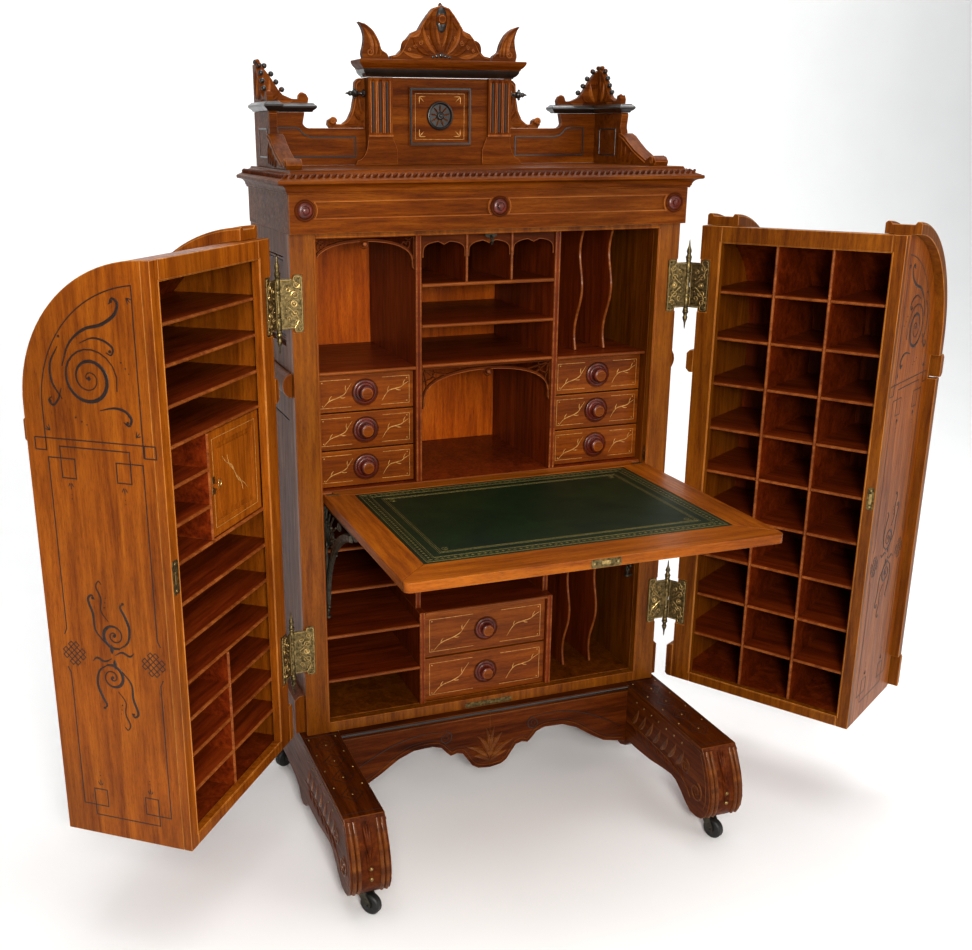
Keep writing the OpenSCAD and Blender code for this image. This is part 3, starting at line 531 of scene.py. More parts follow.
for node, mat, worn in (("case_shell", "case_z", "rub_z"), ("face_frame", "stile_z", "rub_z"),
                        ("side_mouldings", "case_z", "rub_z"), ("frieze", "case_x", "rub_x"),
                        ("partitions", "red_z", "edge"), ("shelves", "red_x", "edge"),
                        ("pigeonholes", "red_z", "edge"), ("file_dividers", "red_z", "edge"),
                        ("gallery_walls", "case_x", "rub_x"), ("gallery_block", "case_x", "rub_x"),
                        ("pilasters", "case_z", "rub_z"), ("crest", "case_x", "rub_x"),
                        ("corner_crests", "case_x", "rub_x"), ("gallery_brackets", "case_y", "rub_x"),
                        ("sled_legs", "deep_y", "carved"), ("apron", "deep_x", "carved")):
    big = node in ("case_shell", "face_frame", "sled_legs")
    # the case shell's inner faces take the pale inner tone, painted light for the compartments
    soften(node, (mat, worn) + (("inside_z",) if node == "case_shell" else ()), 1.3 if big else 0.9,
           pick=painted_light_faces if node == "case_shell" else None)


def moulding(profile, x, yf, yb):
    """A moulding across a front and back along both sides: (outward offset, z) points."""
    return loft([[(sx * (x + o), yf - o if front else yb, z) for o, z in profile]
                 for sx, front in ((-1, False), (-1, True), (1, True), (1, False))])


cove = [(6 + 15 * (1 - cosd(a)), 1486 + 14 * sind(a)) for a in range(0, 91, 15)]
top = Part("cornice_moulding", "cabinet", ("case_x", "rub_x"))
top.add(moulding([(0.5, 1481.3), (4, 1481.3), (4, 1484.5), (6, 1486)] + cove
                 + [(24, 1500.5), (26, 1502), (26, 1507), (24.5, 1508.4), (21, 1509.2), (19.5, 1510.6),
                    (17, 1511), (3, 1517.5), (1.5, 1519.4), (-7, 1522.5), (-9, TOP_Z), (-11, TOP_Z),
                    (-11, 1490), (0.5, 1490)], 462, -18, CASE_D - 2))
top.make(0.6, 2, 30, ("cornice",))

# twisted rope that lies on the cornice's slope
rope = Part("cornice_rope", "cabinet", ("deep_x",))
STRAND = ((-5.5, 0, 1512), (-2, 1, 1516.2), (2, 4, 1518.6), (5.5, 8, 1518.6))    # along, inward, z
STRAND_R = [2.2, 3.3, 3.3, 2.2]
for i in range(66):
    x = -469 + i * 938 / 65
    rope.add(tube([(x + d, -31 + o, z) for d, o, z in STRAND], STRAND_R, 6))
for i in range(28):
    y = -8 + i * 392 / 27
    rope.add(tube([(475 - o, y + d, z) for d, o, z in STRAND], STRAND_R, 6), both=True)
rope.make()

# frieze: bead round each sunken panel, rosettes on turned rings
bead = Part("frieze_beads", "cabinet", ("rub_x",))
fr = facing(-13)
ROS_X, ROS_Z = 429, 1449
for xa, xb in ((-ROS_X, 0), (0, ROS_X)):
    ends = [(x + s * 26 * cosd(a), ROS_Z + s * 26 * sind(a)) for x, s in ((xa, 1), (xb, -1))
            for a in range(40, -41, -8)]
    bead.add(ribbon(fr, ends, 3.0, 5.6, closed=True))
bead.make()
for i, x in enumerate((-ROS_X, 0, ROS_X)):
    ros = Part("rosette_%d" % (i + 1), "cabinet", ("knob", "deep_x"))
    p = facing(-18)
    ros.add(lathe(p, x, ROS_Z, [(0, -2), (22, -2), (22, 1.6), (20, 3.4), (17.5, 3.2), (16.5, 1.2),
                                (0, 1)], 40), 1)
    ros.add(lathe(p, x, ROS_Z, [(0, 0.6), (15, 0.6), (15.4, 3.4), (12, 6), (9.5, 6.2), (8, 4.2), (6.4, 4.4),
                                (5.4, 8), (2.6, 9), (0, 9)], 40))
    for k in range(8):
        a = math.radians(45 * k)
        ros.add(leaf(Plane((x, -18, ROS_Z), (math.cos(a), 0, math.sin(a)), (-math.sin(a), 0, math.cos(a)),
                           (0, -1, 0)), (7, 0), (15, 0), 5, 8))
    ros.make(replaces=("frieze_rosettes",) if i == 0 else ())

# painted light: a pale sheet over the back, far lighter than the case wood, for the light that falls on the
# compartments' backs
painted_light_sheet = Part("back_painted_light_sheet", "cabinet", ("inside_z",))
for x0, x1 in ((-OPEN_HW, -175), (-159, 159), (175, OPEN_HW)):
    for z0, z1 in ((268, 824), (836, 1392)):
        painted_light_sheet.add(box((x0, 379.6, z0), (x1, 380.9, z1)))
painted_light_sheet.make()

# face frame: a fine bead round the opening
ff = Part("opening_bead", "cabinet", ("rub_z",))
ff.add(tube([(OPEN_HW + 3.5, -0.2, 276), (OPEN_HW + 3.5, -0.2, 1389)], 1.5, 8), both=True)
ff.add(tube([(-OPEN_HW, -0.2, OPEN_Z1 + 3), (OPEN_HW, -0.2, OPEN_Z1 + 3)], 1.5, 8))
ff.make()

# side panels: moulding inside each raised frame
sp = Part("side_panel_beads", "cabinet", ("rub_z", "line"))
for z0, z1 in ((389, 996), (1164, 1348)):
    for off, r, m in ((4, 2.4, 0), (11, 1.1, 1)):
        y0, y1 = 62.5 + off, 343 - off
        sp.add(tube([(448.6, y0, z0 + off), (448.6, y1, z0 + off), (448.6, y1, z1 - off),
                     (448.6, y0, z1 - off)], r, 6, closed=True), m, both=True)
sp.make()

# front edges of the shelves and partitions: rounded lips of paler wood
DIV_A, DIV_B = 160, 174
lips = Part("shelf_lips", "cabinet", ("edge",))

LEFT_BAY, MID_BAY, RIGHT_BAY = ((-OPEN_HW + 1, -DIV_B - 1), (-DIV_A + 1, DIV_A - 1), (DIV_B + 1, OPEN_HW - 1))
for bay, y, heights in ((MID_BAY, 34, (1285, 1195, 1106)), (MID_BAY, 15, (514,)), (MID_BAY, 46, (640,)),
                        (LEFT_BAY, 34, (1103.5,)), (LEFT_BAY, 15, (377, 488)), (LEFT_BAY, 46, (588, 690)),
                        (RIGHT_BAY, 34, (1103.5,)), (RIGHT_BAY, 46, (588,))):
    for z in heights:
        lips.add(tube([(x, y, z - 4) for x in bay], 3.68, 8))
for s in (-1, 1):
    lips.add(tube([(s * 54, 34, 1286), (s * 54, 34, 1390)], 2.8, 8))
    for x, y, z0, z1 in ((162.5, 34, 836, 1390), (171.5, 34, 836, 1390), (162.5, 15, 275, 514),
                         (171.5, 15, 275, 514), (162.5, 46, 516, 823), (171.5, 46, 516, 823)):
        lips.add(tube([(s * x, y, z0), (s * x, y, z1)], 2.3, 8))
lips.add(tube([(-OPEN_HW + 1, 31.5, 829.5), (OPEN_HW - 1, 31.5, 829.5)], 4.8, 8))
lips.make()
waves = Part("divider_edges", "cabinet", ("edge",))
for x in (251, 327):
    for z0, z1 in ((1104.5, 1390), (275, 579)):
        n = 36
        waves.add(tube([(x, 96 - 22 * i / n + 12 * math.sin(3 * math.pi * i / n), z0 + (z1 - z0) * i / n)
                        for i in range(n + 1)], 3.1, 8))
waves.make()

# pierced fretwork: a double-edged arch, a frame in each corner and two curls inside it
fret = Part("fretwork_arches", "cabinet", ("deep_x", "edge"))
fp = facing(40)


def arch_pts(cx, zs, hw, rise, n=28, power=0.5):
    return [(cx - hw * math.cos(math.pi * i / n), zs + rise * math.sin(math.pi * i / n) ** power)
            for i in range(n + 1)]


def big_arch(x0, x1, zs, top_z, bars):
    cx, hw = (x0 + x1) / 2, (x1 - x0) / 2 - 5
    pts = arch_pts(cx, zs + 6, hw, top_z - 15 - zs, power=0.62)
    fret.add(ribbon(fp, pts, 7, 3, sink=3))
    fret.add(ribbon(fp, [(a, b - 2.6) for a, b in pts], 2, 4.4, sink=-2.8), 1)
    fret.add(ribbon(fp, [(x0 + 1, top_z - 2.5), (x1 - 1, top_z - 2.5)], 5, 3, sink=3))
    for s in (-1, 1):
        xe = cx + s * (hw + 2.5)
        fret.add(ribbon(fp, [(xe, zs), (xe, top_z - 3)], 5, 3, sink=3))
        corner = Vector((cx + s * (hw - 1), top_z - 6))
        if bars:
            for t in (0.32, 0.5, 0.68):
                q = Vector(pts[int(len(pts) * (t * 0.42) if s < 0 else len(pts) * (1 - t * 0.42))])
                fret.add(ribbon(fp, [corner, q], 3.4, 2.4, sink=2.4))
            q = [corner + Vector(d) for d in ((-s * 26, 0), (-s * 20, -18), (0, -26))]
            fret.add(ribbon(fp, smooth(q), 3, 2.4, sink=2.4))
        else:
            c = corner + Vector((-s * 17, -15))
            fret.add(ribbon(fp, spiral(c.x, c.y, 13, 3, 1.3, 90, sign=-s), 3.2, 2.4, sink=2.4))
            fret.add(ribbon(fp, [corner, c + Vector((0, 2))], 3, 2.4, sink=2.4))
    fret.add(lathe(facing(38), cx, top_z - 17, [(0, -2), (10, -2), (11, 2), (8.5, 4), (6, 3), (5, 7),
                                                (0, 9)], 24))
    fret.add(lathe(facing(38), cx, top_z - 17, [(0, 6), (4.2, 6), (3.6, 9.5), (0, 10.5)], 20), 1)


big_arch(-OPEN_HW, -DIV_B, 1316, OPEN_Z1, False)
big_arch(-DIV_A, DIV_A, 1004, 1098, True)
for cx in (-107, 0, 107):
    pts = []
    for i in range(33):
        t = i / 32
        lobes = 1341 + 34 * math.sin(math.pi * t) ** 0.42
        pts.append((cx - 49 * math.cos(math.pi * t), lobes - 7 * max(0, 1 - abs(t - 0.5) / 0.09)))
    fret.add(prism(fp, [(cx - 51, OPEN_Z1 - 0.5), (cx - 51, 1341)] + pts
                       + [(cx + 51, 1341), (cx + 51, OPEN_Z1 - 0.5)], -3, 3))
    fret.add(ribbon(fp, pts, 2, 4.4, sink=-2.8), 1)
fret.make(replaces=("fretwork",))

# ------------------------------------------------------------------ drawers
STROKE_L = [(-97, -30), (-88, -20), (-79, -14), (-60, -8), (-47, -1), (-41, 8), (-31, 22)]
STROKE_R = [(40, -22), (48, -9), (57, 0), (70, 3), (84, 6), (93, 12), (102, 17)]
KNOB = [(0, 0.2), (27, 0.2), (27.4, 2), (25, 3.4), (22.5, 3), (21.5, 4.6), (18.5, 6.2), (16, 5.6), (14.6, 7),
        (14.2, 10), (16.5, 14), (17.2, 17), (15.4, 19.8), (11.5, 20.8), (9.6, 19.2), (8, 19.4),
        (6.4, 21.4), (3.4, 22), (0, 22)]


def drawer(node, hw, hh, knob_scale=1.0):
    lo, hi = (Vector(p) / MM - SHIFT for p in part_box(node))
    cx = (lo.x + hi.x) / 2
    y = 24 if node in ("drawer_c1", "drawer_c2") else 50
    top_z = {"drawer_c1": 502, "drawer_c2": 387.5}.get(node, lo.z + 82.5)
    cz = (lo.z + top_z) / 2
    soften(node, ("orange_x", "rub_x"), 1.2)
    p = Part(node + "_front", BODY[node], ("gilt", "line", "knob", "deep_x"))
    pl = Plane((cx, y, cz), (1, 0, 0), (0, 0, 1), (0, -1, 0))
    for s in (-1, 1):
        gap0 = 34 if s < 0 else 40
        p.add(ribbon(pl, [(s * gap0, hh), (s * hw, hh), (s * hw, -hh), (s * (gap0 - 2), -hh)], 1.5, 0.35), 0)
        for z in (hh - 5, -hh + 5):
            p.add(lathe(pl, s * (hw - 6), z, [(0, -0.3), (1.6, -0.3), (1.5, 0.6), (0, 1)], 10), 0)
    kx, kz = hw / 104, hh / 31
    for pts in (STROKE_L, STROKE_R):
        c = smooth([(a * kx, b * kz) for a, b in pts], 4)
        p.add(ribbon(pl, c, swell(len(c), 2.7, 0.35), 0.7), 0)
        for i, d in ((6, 1), (12, -1), (18, 1)):
            a = Vector(c[i])
            t = (Vector(c[i + 1]) - a).normalized()
            e = a + (t + Vector((-t.y, t.x)) * d * 0.55) * 13
            w = smooth([a, (a + e) / 2 + Vector((-t.y, t.x)) * d * 1.2, e], 3)
            p.add(ribbon(pl, w, swell(len(w), 2.4, 0.25), 0.6), 0)
    ring = [(0, -0.3), (31, -0.3), (31, 0.5), (29.6, 0.8), (28.4, 0.4), (0, 0.4)]
    p.add(lathe(pl, 0, 0, ring, 40), 3)
    p.add(lathe(pl, 0, 0, [(r * knob_scale, h) for r, h in KNOB], 40), 2)
    p.make(angle=50)


for k in ("l1", "l2", "l3", "r1", "r2", "r3"):
    drawer("drawer_" + k, 104, 31)
for k in ("c1", "c2"):
    drawer("drawer_" + k, 146, 42, 0.97)

# ------------------------------------------------------------------ doors
RIB_W, LAP, FR_V = 76, 20, 18.3
END_T, FRONT_T, SEAM_Z = 16.3, 12, 1108.3    # room beside the front, its thickness, foot of its curve
RIB = [(0, 0), (RIB_W, 0), (RIB_W, 22), (RIB_W - 4, 26), (RIB_W - 11, 26), (RIB_W - 15, 20), (15, 20),
       (11, 26), (4, 26), (0, 22)]


def bend(r, v, n):
    """The round top's curve at radius r, up from the straight front to depth v."""
    e = math.radians(90) - math.asin((v - ROUND_V) / r)
    return [(-ROUND_V - r * math.cos(e * i / n), ROUND_Z + r * math.sin(e * i / n)) for i in range(n + 1)]


for side in ("left", "right"):
    place, body = door_place(side), side + "_door"
    tone = "honey_z" if side == "left" else "stile_z"
    back = place.inverted()

    def in_door(f, back=back):
        """Faces that look into the door: the inner wood."""
        c = back @ (f.calc_center_median() / MM - SHIFT)
        n = back.to_3x3() @ f.normal
        if abs(n.y) > 0.5:
            return 0
        inside = U0 + 15 < c.x < U1 - 14 and 270 < c.z < 1370
        return 2 if inside or abs(c.x - U0 - 16) < 0.5 or abs(c.x - U1 + 16) < 0.5 else 0
    soften(side + "_frame", (tone, "worn_z", "red_z"), 1.4, pick=in_door)
    soften(side + "_ends", ("honey_z", "worn_z", "red_z"), 1.4, pick=in_door)
    soften(side + "_mouldings", (tone, "worn_z"), 1.4, top=SEAM_Z - 0.2)
    p = Part(side + "_round_front", body, (tone, "red_z"), place)
    pl = flank(U0 + END_T, 1)
    inner = bend(ROUND_R - FRONT_T, FR_V, 40)
    p.add(prism(pl, [(-DOOR_D, DOOR_Z0)] + bend(ROUND_R - 0.3, FR_V, 40) + inner[::-1]
                + [(-DOOR_D + FRONT_T, DOOR_Z0)], 0, U1 - U0 - 2 * END_T), 0)
    p.add(prism(pl, [(-DOOR_D + FRONT_T, DOOR_Z0 + 18.2)] + inner + bend(ROUND_R - 12.9, FR_V, 40)[::-1]
                + [(-DOOR_D + 12.9, DOOR_Z0 + 18.2)], 0.2, U1 - U0 - 2 * END_T - 0.2), 1)
    p.add(box((U0 + END_T, -DOOR_D + 12.3, DOOR_Z0), (U1 - END_T, -FR_V, DOOR_Z0 + 18)), 1)
    p.make(replaces=(side + "_shell",))
    p = Part(side + "_round_ribs", body, (tone, "worn_z"), place)
    for u in ((U0,) if side == "left" else (U0, U1 - RIB_W + LAP)):
        rings = [[(u + q, -DOOR_D - 0.3 - h, SEAM_Z) for q, h in RIB]]
        curves = [bend(ROUND_R + 0.3 + h, 26, 40) for q, h in RIB]
        rings += [[(u + q, *c[i]) for (q, h), c in zip(RIB, curves)] for i in range(41)]
        p.add(loft(rings), 0)
    p.make(1.2, 2, 30, worn=1)
soften("left_shelves", ("red_l", "edge"), 0.8)
soften("right_grid", ("red_r", "edge"), 0.8)
soften("cupboard_door", ("honey_z", "worn_z"), 1.2)


def knot(part, pl, ca, cb, s):
    """Two long loops laced across each other at right angles."""
    for turn in (45, -45):
        c, sn = cosd(turn), sind(turn)
        for off in (-9, 9):
            part.add(ribbon(pl, [(ca + s * (a * c - (b + off) * sn), cb + a * sn + (b + off) * c)
                                 for a, b in ((-21, -4.6), (21, -4.6), (21, 4.6), (-21, 4.6))],
                            2.1, 0.4, closed=True))


def sprig(part, pl, ca, cb, down):
    """Three small leaves and two dots."""
    for a, l in ((-28, 13), (0, 17), (28, 13)):
        x, z = l * sind(a), -down * l * cosd(a)
        part.add(leaf(pl, (ca + x * 0.2, cb + z * 0.2), (ca + x, cb + z), 2.4, 0.7))
    for k in (25, 33):
        part.add(lathe(pl, ca, cb - down * k, [(0, -0.3), (1.1, -0.3), (1, 0.5), (0, 0.8)], 8))


def scroll(part, pl, ca, cb, flip):
    """Half of the middle arabesque; the other half is this one turned round."""
    def q(a, b):
        return (ca + flip * a, cb + flip * b)
    part.add(ribbon(pl, [q(a, b) for a, b in spiral(-6, 44, 27, 3, 1.75, 250, 44, 1)],
                    [2.8 + 5.4 * (1 - i / 44) * math.sin(math.pi * min(1, i / 20 + 0.2)) ** 2
                     for i in range(45)], 0.7))
    for pts, w in (([(-14, 18), (-34, 34), (-40, 62), (-32, 88), (-24, 104), (-30, 112)], 4.6),
                   ([(16, 28), (34, 52), (36, 84), (44, 112), (36, 122), (30, 114)], 4.2),
                   ([(4, 72), (18, 92), (16, 118), (24, 140), (18, 152), (12, 146)], 2.4),
                   ([(-4, 4), (-20, 12), (-36, 6), (-46, 14)], 3.6)):
        c = smooth([q(*p) for p in pts], 6)
        part.add(ribbon(pl, c, swell(len(c), w * 1.35, 0.3), 0.7))
    for a, b, r in ((-6, 44, 3.6), (10, 100, 1.6), (8, 110, 1.3), (6, 119, 1.0), (-30, 112, 2.8),
                    (34, 116, 2.6)):
        x, z = q(a, b)
        part.add(lathe(pl, x, z, [(0, -0.3), (r, -0.3), (r * 0.9, 0.5), (0, 0.9)], 12))
    part.add(leaf(pl, q(2, 6), q(2, 26), 9, 1.2))


def end_inlay(side, u, out):
    """The dark line work on the end of a door: an arch with a big scroll over a long laced panel."""
    body = side + "_door"
    p = Part("%s_inlay_%s" % (side, "meeting" if out > 0 else "hinge"), body, ("line",), door_place(side))
    pl = Plane((u, 0, 0), (0, -1, 0), (0, 0, 1), (out, 0, 0))
    w = 2.5
    arc = [(ROUND_V + 224 * cosd(t), ROUND_Z + 224 * sind(t))
           for t in range(0, 84, 3)] + [(39, ROUND_Z + 222.8)]
    p.add(ribbon(pl, [(240, 1053)] + arc + [(39, 1053)], w, 0.4))
    p.add(ribbon(pl, [(263, 1076), (14, 1076)], w, 0.4))
    for a in (240, 14):
        p.add(ribbon(pl, [(a, 1076), (a, 1053), (a + 23, 1053), (a + 23, 1076)], w, 0.4))
    main = spiral(137, 1190, 58, 4, 2.6, 200, 70, -1)
    p.add(ribbon(pl, main, [2 + 6 * math.sin(math.pi * min(1, i / 46)) ** 2 for i in range(71)], 0.8))
    for pts, wd in (([(196, 1170), (204, 1150), (216, 1138), (224, 1146), (218, 1153)], 3.6),
                    ([(120, 1134), (92, 1140), (70, 1136), (58, 1122), (64, 1110), (74, 1116)], 4.4),
                    ([(190, 1210), (172, 1250), (140, 1276), (104, 1286), (76, 1304), (68, 1324),
                      (78, 1332), (84, 1322)], 5.2),
                    ([(150, 1252), (124, 1262), (100, 1258), (84, 1246), (88, 1234), (98, 1238)], 3.4),
                    ([(196, 1150), (214, 1180), (214, 1214), (196, 1244)], 3.6)):
        c = smooth(pts, 6)
        p.add(ribbon(pl, c, swell(len(c), wd * 1.3, 0.3), 0.8))
    for a, b, r in ((137, 1190, 4), (90, 1240, 3.2), (222, 1145, 3), (66, 1115, 3), (80, 1327, 3.2),
                    (70, 1222, 1.6), (62, 1212, 1.4), (56, 1203, 1.1), (172, 1118, 1.8), (160, 1111, 1.5),
                    (150, 1106, 1.2), (192, 1262, 2.6)):
        p.add(lathe(pl, a, b, [(0, -0.3), (r, -0.3), (r * 0.9, 0.6), (0, 1)], 12))
    for a, b, t in ((50, 1334, 225), (228, 1090, 45), (52, 1090, 135)):
        for d in (t - 30, t, t + 30):
            p.add(leaf(pl, (a, b), (a + 13 * cosd(d), b + 13 * sind(d)), 2.4, 0.7))
    # the long panel: one laced line above and below, two knots half way
    mid = 655
    for flip in (1, -1):
        def z(t):
            return mid + flip * t
        top_t = 1040 - mid if flip > 0 else mid - 322
        half = [(140 + a, z(t)) for a, t in ((104, 34), (98, 46), (98, top_t), (43, top_t), (43, top_t - 37),
                                             (72, top_t - 37), (72, top_t + 22))]
        p.add(ribbon(pl, half + [(280 - a, b) for a, b in half[::-1]], w, 0.4))
        for a in (196, 84):
            sprig(p, pl, a, z(top_t - 43), flip)
        scroll(p, pl, 140, mid, flip)
    for a, s in ((226, 1), (54, -1)):
        knot(p, pl, a, mid - 4, s)
    p.make()


for side in ("left", "right"):
    end_inlay(side, U1, 1)
    end_inlay(side, U0, -1)

# lips on the door shelves, and a bead round each door's opening
for side, body in (("left", "left_door"), ("right", "right_door")):
    p = Part(side + "_door_lips", body, ("edge", "worn_z"), door_place(side))

    def rail(a0, a1, z, t=7):
        p.add(tube([(a0, -FR_V, z - t / 2), (a1, -FR_V, z - t / 2)], t * 0.47, 8))

    def post(a, z0, z1, t=7):
        p.add(tube([(a, -FR_V, z0), (a, -FR_V, z1)], t * 0.47, 8))
    if side == "left":
        for z in (1285, 1211, 1137, 1063, 840, 758, 677, 595):
            rail(46, 470, z)
        for z in (988, 914):
            rail(303, 470, z)
        post(299, 841, 1055, 6)
        post(267, 276, 586)
        for z in (517, 439, 361):
            rail(46, 262, z)
            rail(272, 470, z)
    else:
        for a in (205.5, 332.5):
            post(a, 276, 1358)
        for k in range(1, 10):
            z = 1358 - 107.6 * k
            for a0, a1 in ((46, 201), (210, 328), (337, 470)):
                rail(a0, a1, z)
    a0, a1, z0, z1 = 75, U1 - 25, 279, 1362
    p.add(tube([(a0, -0.4, z0), (a1, -0.4, z0), (a1, -0.4, z1), (a0, -0.4, z1)], 1.4, 6, closed=True), 1)
    p.make()

# cupboard leaf: raised field, gilt lines, key and its plate
cb = Part("cupboard_field", "cupboard_leaf", ("honey_z", "gilt", "bright"), door_place("left"))
cpl = facing(-20, 1)
cb.add(ribbon(cpl, [(96, 858), (278, 858), (278, 1038), (96, 1038)], 1.4, 0.35, closed=True), 1)
cb.add(prism(facing(-24, 1),
             [(120, 882), (254, 882), (254, 1014), (120, 1014)], 0, 2.6), 0)
for s in (1, -1):
    c = smooth([(187 + s * a, 948 + s * b) for a, b in ((-50, -46), (-34, -30), (-12, -18), (4, 6),
                                                        (22, 22), (30, 44))], 5)
    cb.add(ribbon(facing(-21.4, 1), c, swell(len(c), 3.4), 0.6), 1)
cb.add(prism(cpl, [(275, 928), (287, 928), (288, 934), (287, 964), (275, 964), (274, 934)], 0, 1.2), 2)
cb.add(tube([(281, -19, 946), (281, -6, 946)], 1.6, 10), 2)
cb.add(tube([(281 + 6 * sind(22.5 * t), -6, 953 - 7 * cosd(22.5 * t)) for t in range(16)], 1.2, 8,
            closed=True), 2)
cb.make(0.3, 1, 40)


# ------------------------------------------------------------------ brass hinges
def hinge_plate(part, pl, a0, a1, z0, z1):
    """A cast plate: stepped outline, raised rim and scrolled strapwork."""
    s = 1 if a1 > a0 else -1
    zc, hh, w = (z0 + z1) / 2, (z1 - z0) / 2, abs(a1 - a0)

    def q(a, b):
        return (a0 + s * a, zc + b)
    outline = [q(0, -hh + 8), q(w * 0.62, -hh + 8), q(w * 0.66, -hh), q(w - 4, -hh), q(w, -hh + 4),
               q(w, hh - 4), q(w - 4, hh), q(w * 0.66, hh), q(w * 0.62, hh - 8), q(0, hh - 8)]
    part.add(prism(pl, outline, -0.6, 1.2), 0)
    part.add(ribbon(pl, [((a - a0) * 0.9 + a0 + s * w * 0.05, (b - zc) * 0.95 + zc) for a, b in outline],
                    1.6, 2.2, closed=True, sink=-1), 1)
    for sgn in (-1, 1):
        for (a, b, r, st, tn) in ((w * 0.66, 18, 8.6, 180, 1.4), (w * 0.72, 40, 7.6, 0, 1.3),
                                  (w * 0.36, 30, 6.0, 90, 1.2)):
            c = spiral(a, b, r, 1.6, tn, st, 22, -1)
            part.add(tube([pl(*q(x, sgn * z), 1.6) for x, z in c], [1.5 - 0.6 * i / 22 for i in range(23)],
                          6), 1)
        stem = smooth([(w * 0.3, 4), (w * 0.5, 12), (w * 0.8, 30), (w * 0.62, 50)], 5)
        part.add(tube([pl(*q(x, sgn * z), 1.6) for x, z in stem], 1.2, 6), 1)
        for a, b in ((w * 0.9, 26), (w * 0.5, 50), (w * 0.9, 50), (w * 0.28, 14)):
            part.add(ball(pl(*q(a, sgn * b), 1.4), 1.7, 8), 1)
        for a, b in ((w * 0.84, hh - 6), (w * 0.9, 9)):
            part.add(lathe(pl, *q(a, sgn * b), [(0, 1), (2.8, 1), (2.4, 2.6), (0, 3)], 14), 0)
    part.add(lathe(pl, *q(w * 0.62, 0), [(0, 1), (7, 1), (7, 2.2), (5, 2.6), (3.6, 1.8), (2.4, 3.4),
                                         (0, 3.8)], 20), 1)


ch = Part("case_hinge_castings", "cabinet", ("brass", "bright"))
FINIAL = [(7, 60), (8, 64), (5.4, 67.6), (4.4, 72), (6.6, 76), (5.4, 81), (2.6, 88), (1.4, 100), (0, 105.5)]
for sx in (-1, 1):
    for h in HINGE_Z:
        fpl = facing(0.15)
        hinge_plate(ch, fpl, sx * (CASE_HW + 25), sx * (CASE_HW - 25), h - 60, h + 60)
        for k in (-1, 1):
            ax = Plane((sx * HINGE_X, 0, h), (1, 0, 0), (0, 1, 0), (0, 0, k))
            ch.add(lathe(ax, 0, 0, [(0, 20.3), (5.4, 20.3), (6.2, 21.2), (6.2, 27), (5.2, 28.4), (6.4, 30),
                                    (6.4, 52), (5, 54), (6.2, 56), (6.2, 59), (4.6, 61)]
                         + [(r * 0.92, z) for r, z in FINIAL], 24), 0)
ch.make(angle=45, replaces=("case_hinges",))
for side in ("left", "right"):
    dh = Part(side + "_hinge_castings", side + "_door", ("brass", "bright"), door_place(side))
    for h in HINGE_Z:
        hinge_plate(dh, facing(-1.1, 1), 6.5, U0 + 25, h - 60, h + 60)
        dh.add(lathe(level(h), 0, 0, [(3.1, -19.9), (5.4, -19.9), (6.3, -19), (6.3, -6), (5.2, -4.6),
                                      (5.2, 4.6), (6.3, 6), (6.3, 19), (5.4, 19.9), (3.1, 19.9),
                                      (3.1, -19.9)], 24), 0)
    a0, a1, z0, z1 = (U1 - 23, U1 - 2, 796, 862) if side == "left" else (U1 - 18, U1 - 3, 800, 852)
    lp = facing(-0.55, 1)
    dh.add(prism(lp, [(a0, z0 + 3), (a0 + 3, z0), (a1 - 3, z0), (a1, z0 + 3), (a1, z1 - 3), (a1 - 3, z1),
                      (a0 + 3, z1), (a0, z1 - 3)], -0.4, 0.9), 0)
    am = (a0 + a1) / 2
    dh.add(box((am - 3, -0.9, (z0 + z1) / 2 - 13), (am + 3, 0.9, (z0 + z1) / 2 + 11)), 1)
    for z in (z0 + 7, z1 - 7):
        dh.add(lathe(lp, am, z, [(0, 0.5), (2.6, 0.5), (2.2, 1.5), (0, 1.8)], 12), 1)
    dh.make(0.25, 1, 45, (side + "_brass",))
knob = Part("turned_handle", "right_door", ("bright",), door_place("right"))
knob.add(lathe(Plane((U1 - 4, -DOOR_D - 26.5, 790), (1, 0, 0), (0, 0, 1), (0, -1, 0)), 0, 0,
               [(0, 0), (14, 0), (14.5, 1.6), (11, 3), (6, 4.4), (4.6, 8), (4.6, 13), (8, 16), (12.4, 20),
                (14, 26), (13, 32), (9.6, 37), (6, 39.5), (5, 42), (4, 45), (0, 48)], 36))
knob.make(replaces=("door_handle",))

# ------------------------------------------------------------------ writing board
wb = Part("writing_board_frame", "writing_leaf", ("honey_x", "honey_y", "worn_x", "line"))
BZ0, BZ1, BY0, BW = DECK_Z - 20, DECK_Z, -562.5, 402
corner = [(BW - 14 + 14 * cosd(a), BY0 + 14 - 14 * sind(a))
          for a in range(0, 91, 15)]


def slab(pts, z0, z1, mat):
    wb.add(prism(level(0), pts, z0, z1), mat)


# mitred border: front, back, sides; then the panel under the leather
slab([(-336, -478), (336, -478), (BW, -544)] + corner[1:] + [(-x, y) for x, y in corner[::-1]][:-1]
     + [(-BW, -544)], BZ0, BZ1, 0)
for s in (-1, 1):
    slab([(s * 336, -477.8), (s * BW, -543.8), (s * BW, 7.5), (s * 336, -13.8)], BZ0, BZ1, 1)
slab([(-336, -13.5), (336, -13.5), (401.5, 7.9), (378, 7.9), (378, 23), (-378, 23), (-378, 7.9),
      (-401.5, 7.9)], BZ0, BZ1, 0)
slab([(-335.9, -477.9), (335.9, -477.9), (335.9, -13.9), (-335.9, -13.9)], BZ0, BZ1 - 2.4, 0)
wb.make(1.6, 3, 50, ("writing_board",))
lt = Part("leather_top", "writing_leaf", ("leather", "tool"))
LZ = DECK_Z - 0.9
lt.add(box((-335.6, -477.6, LZ - 1.3), (335.6, -14.4, LZ)), 0)
cy, hx, hy = -246, 334.5, 230.5
lz = level(LZ)
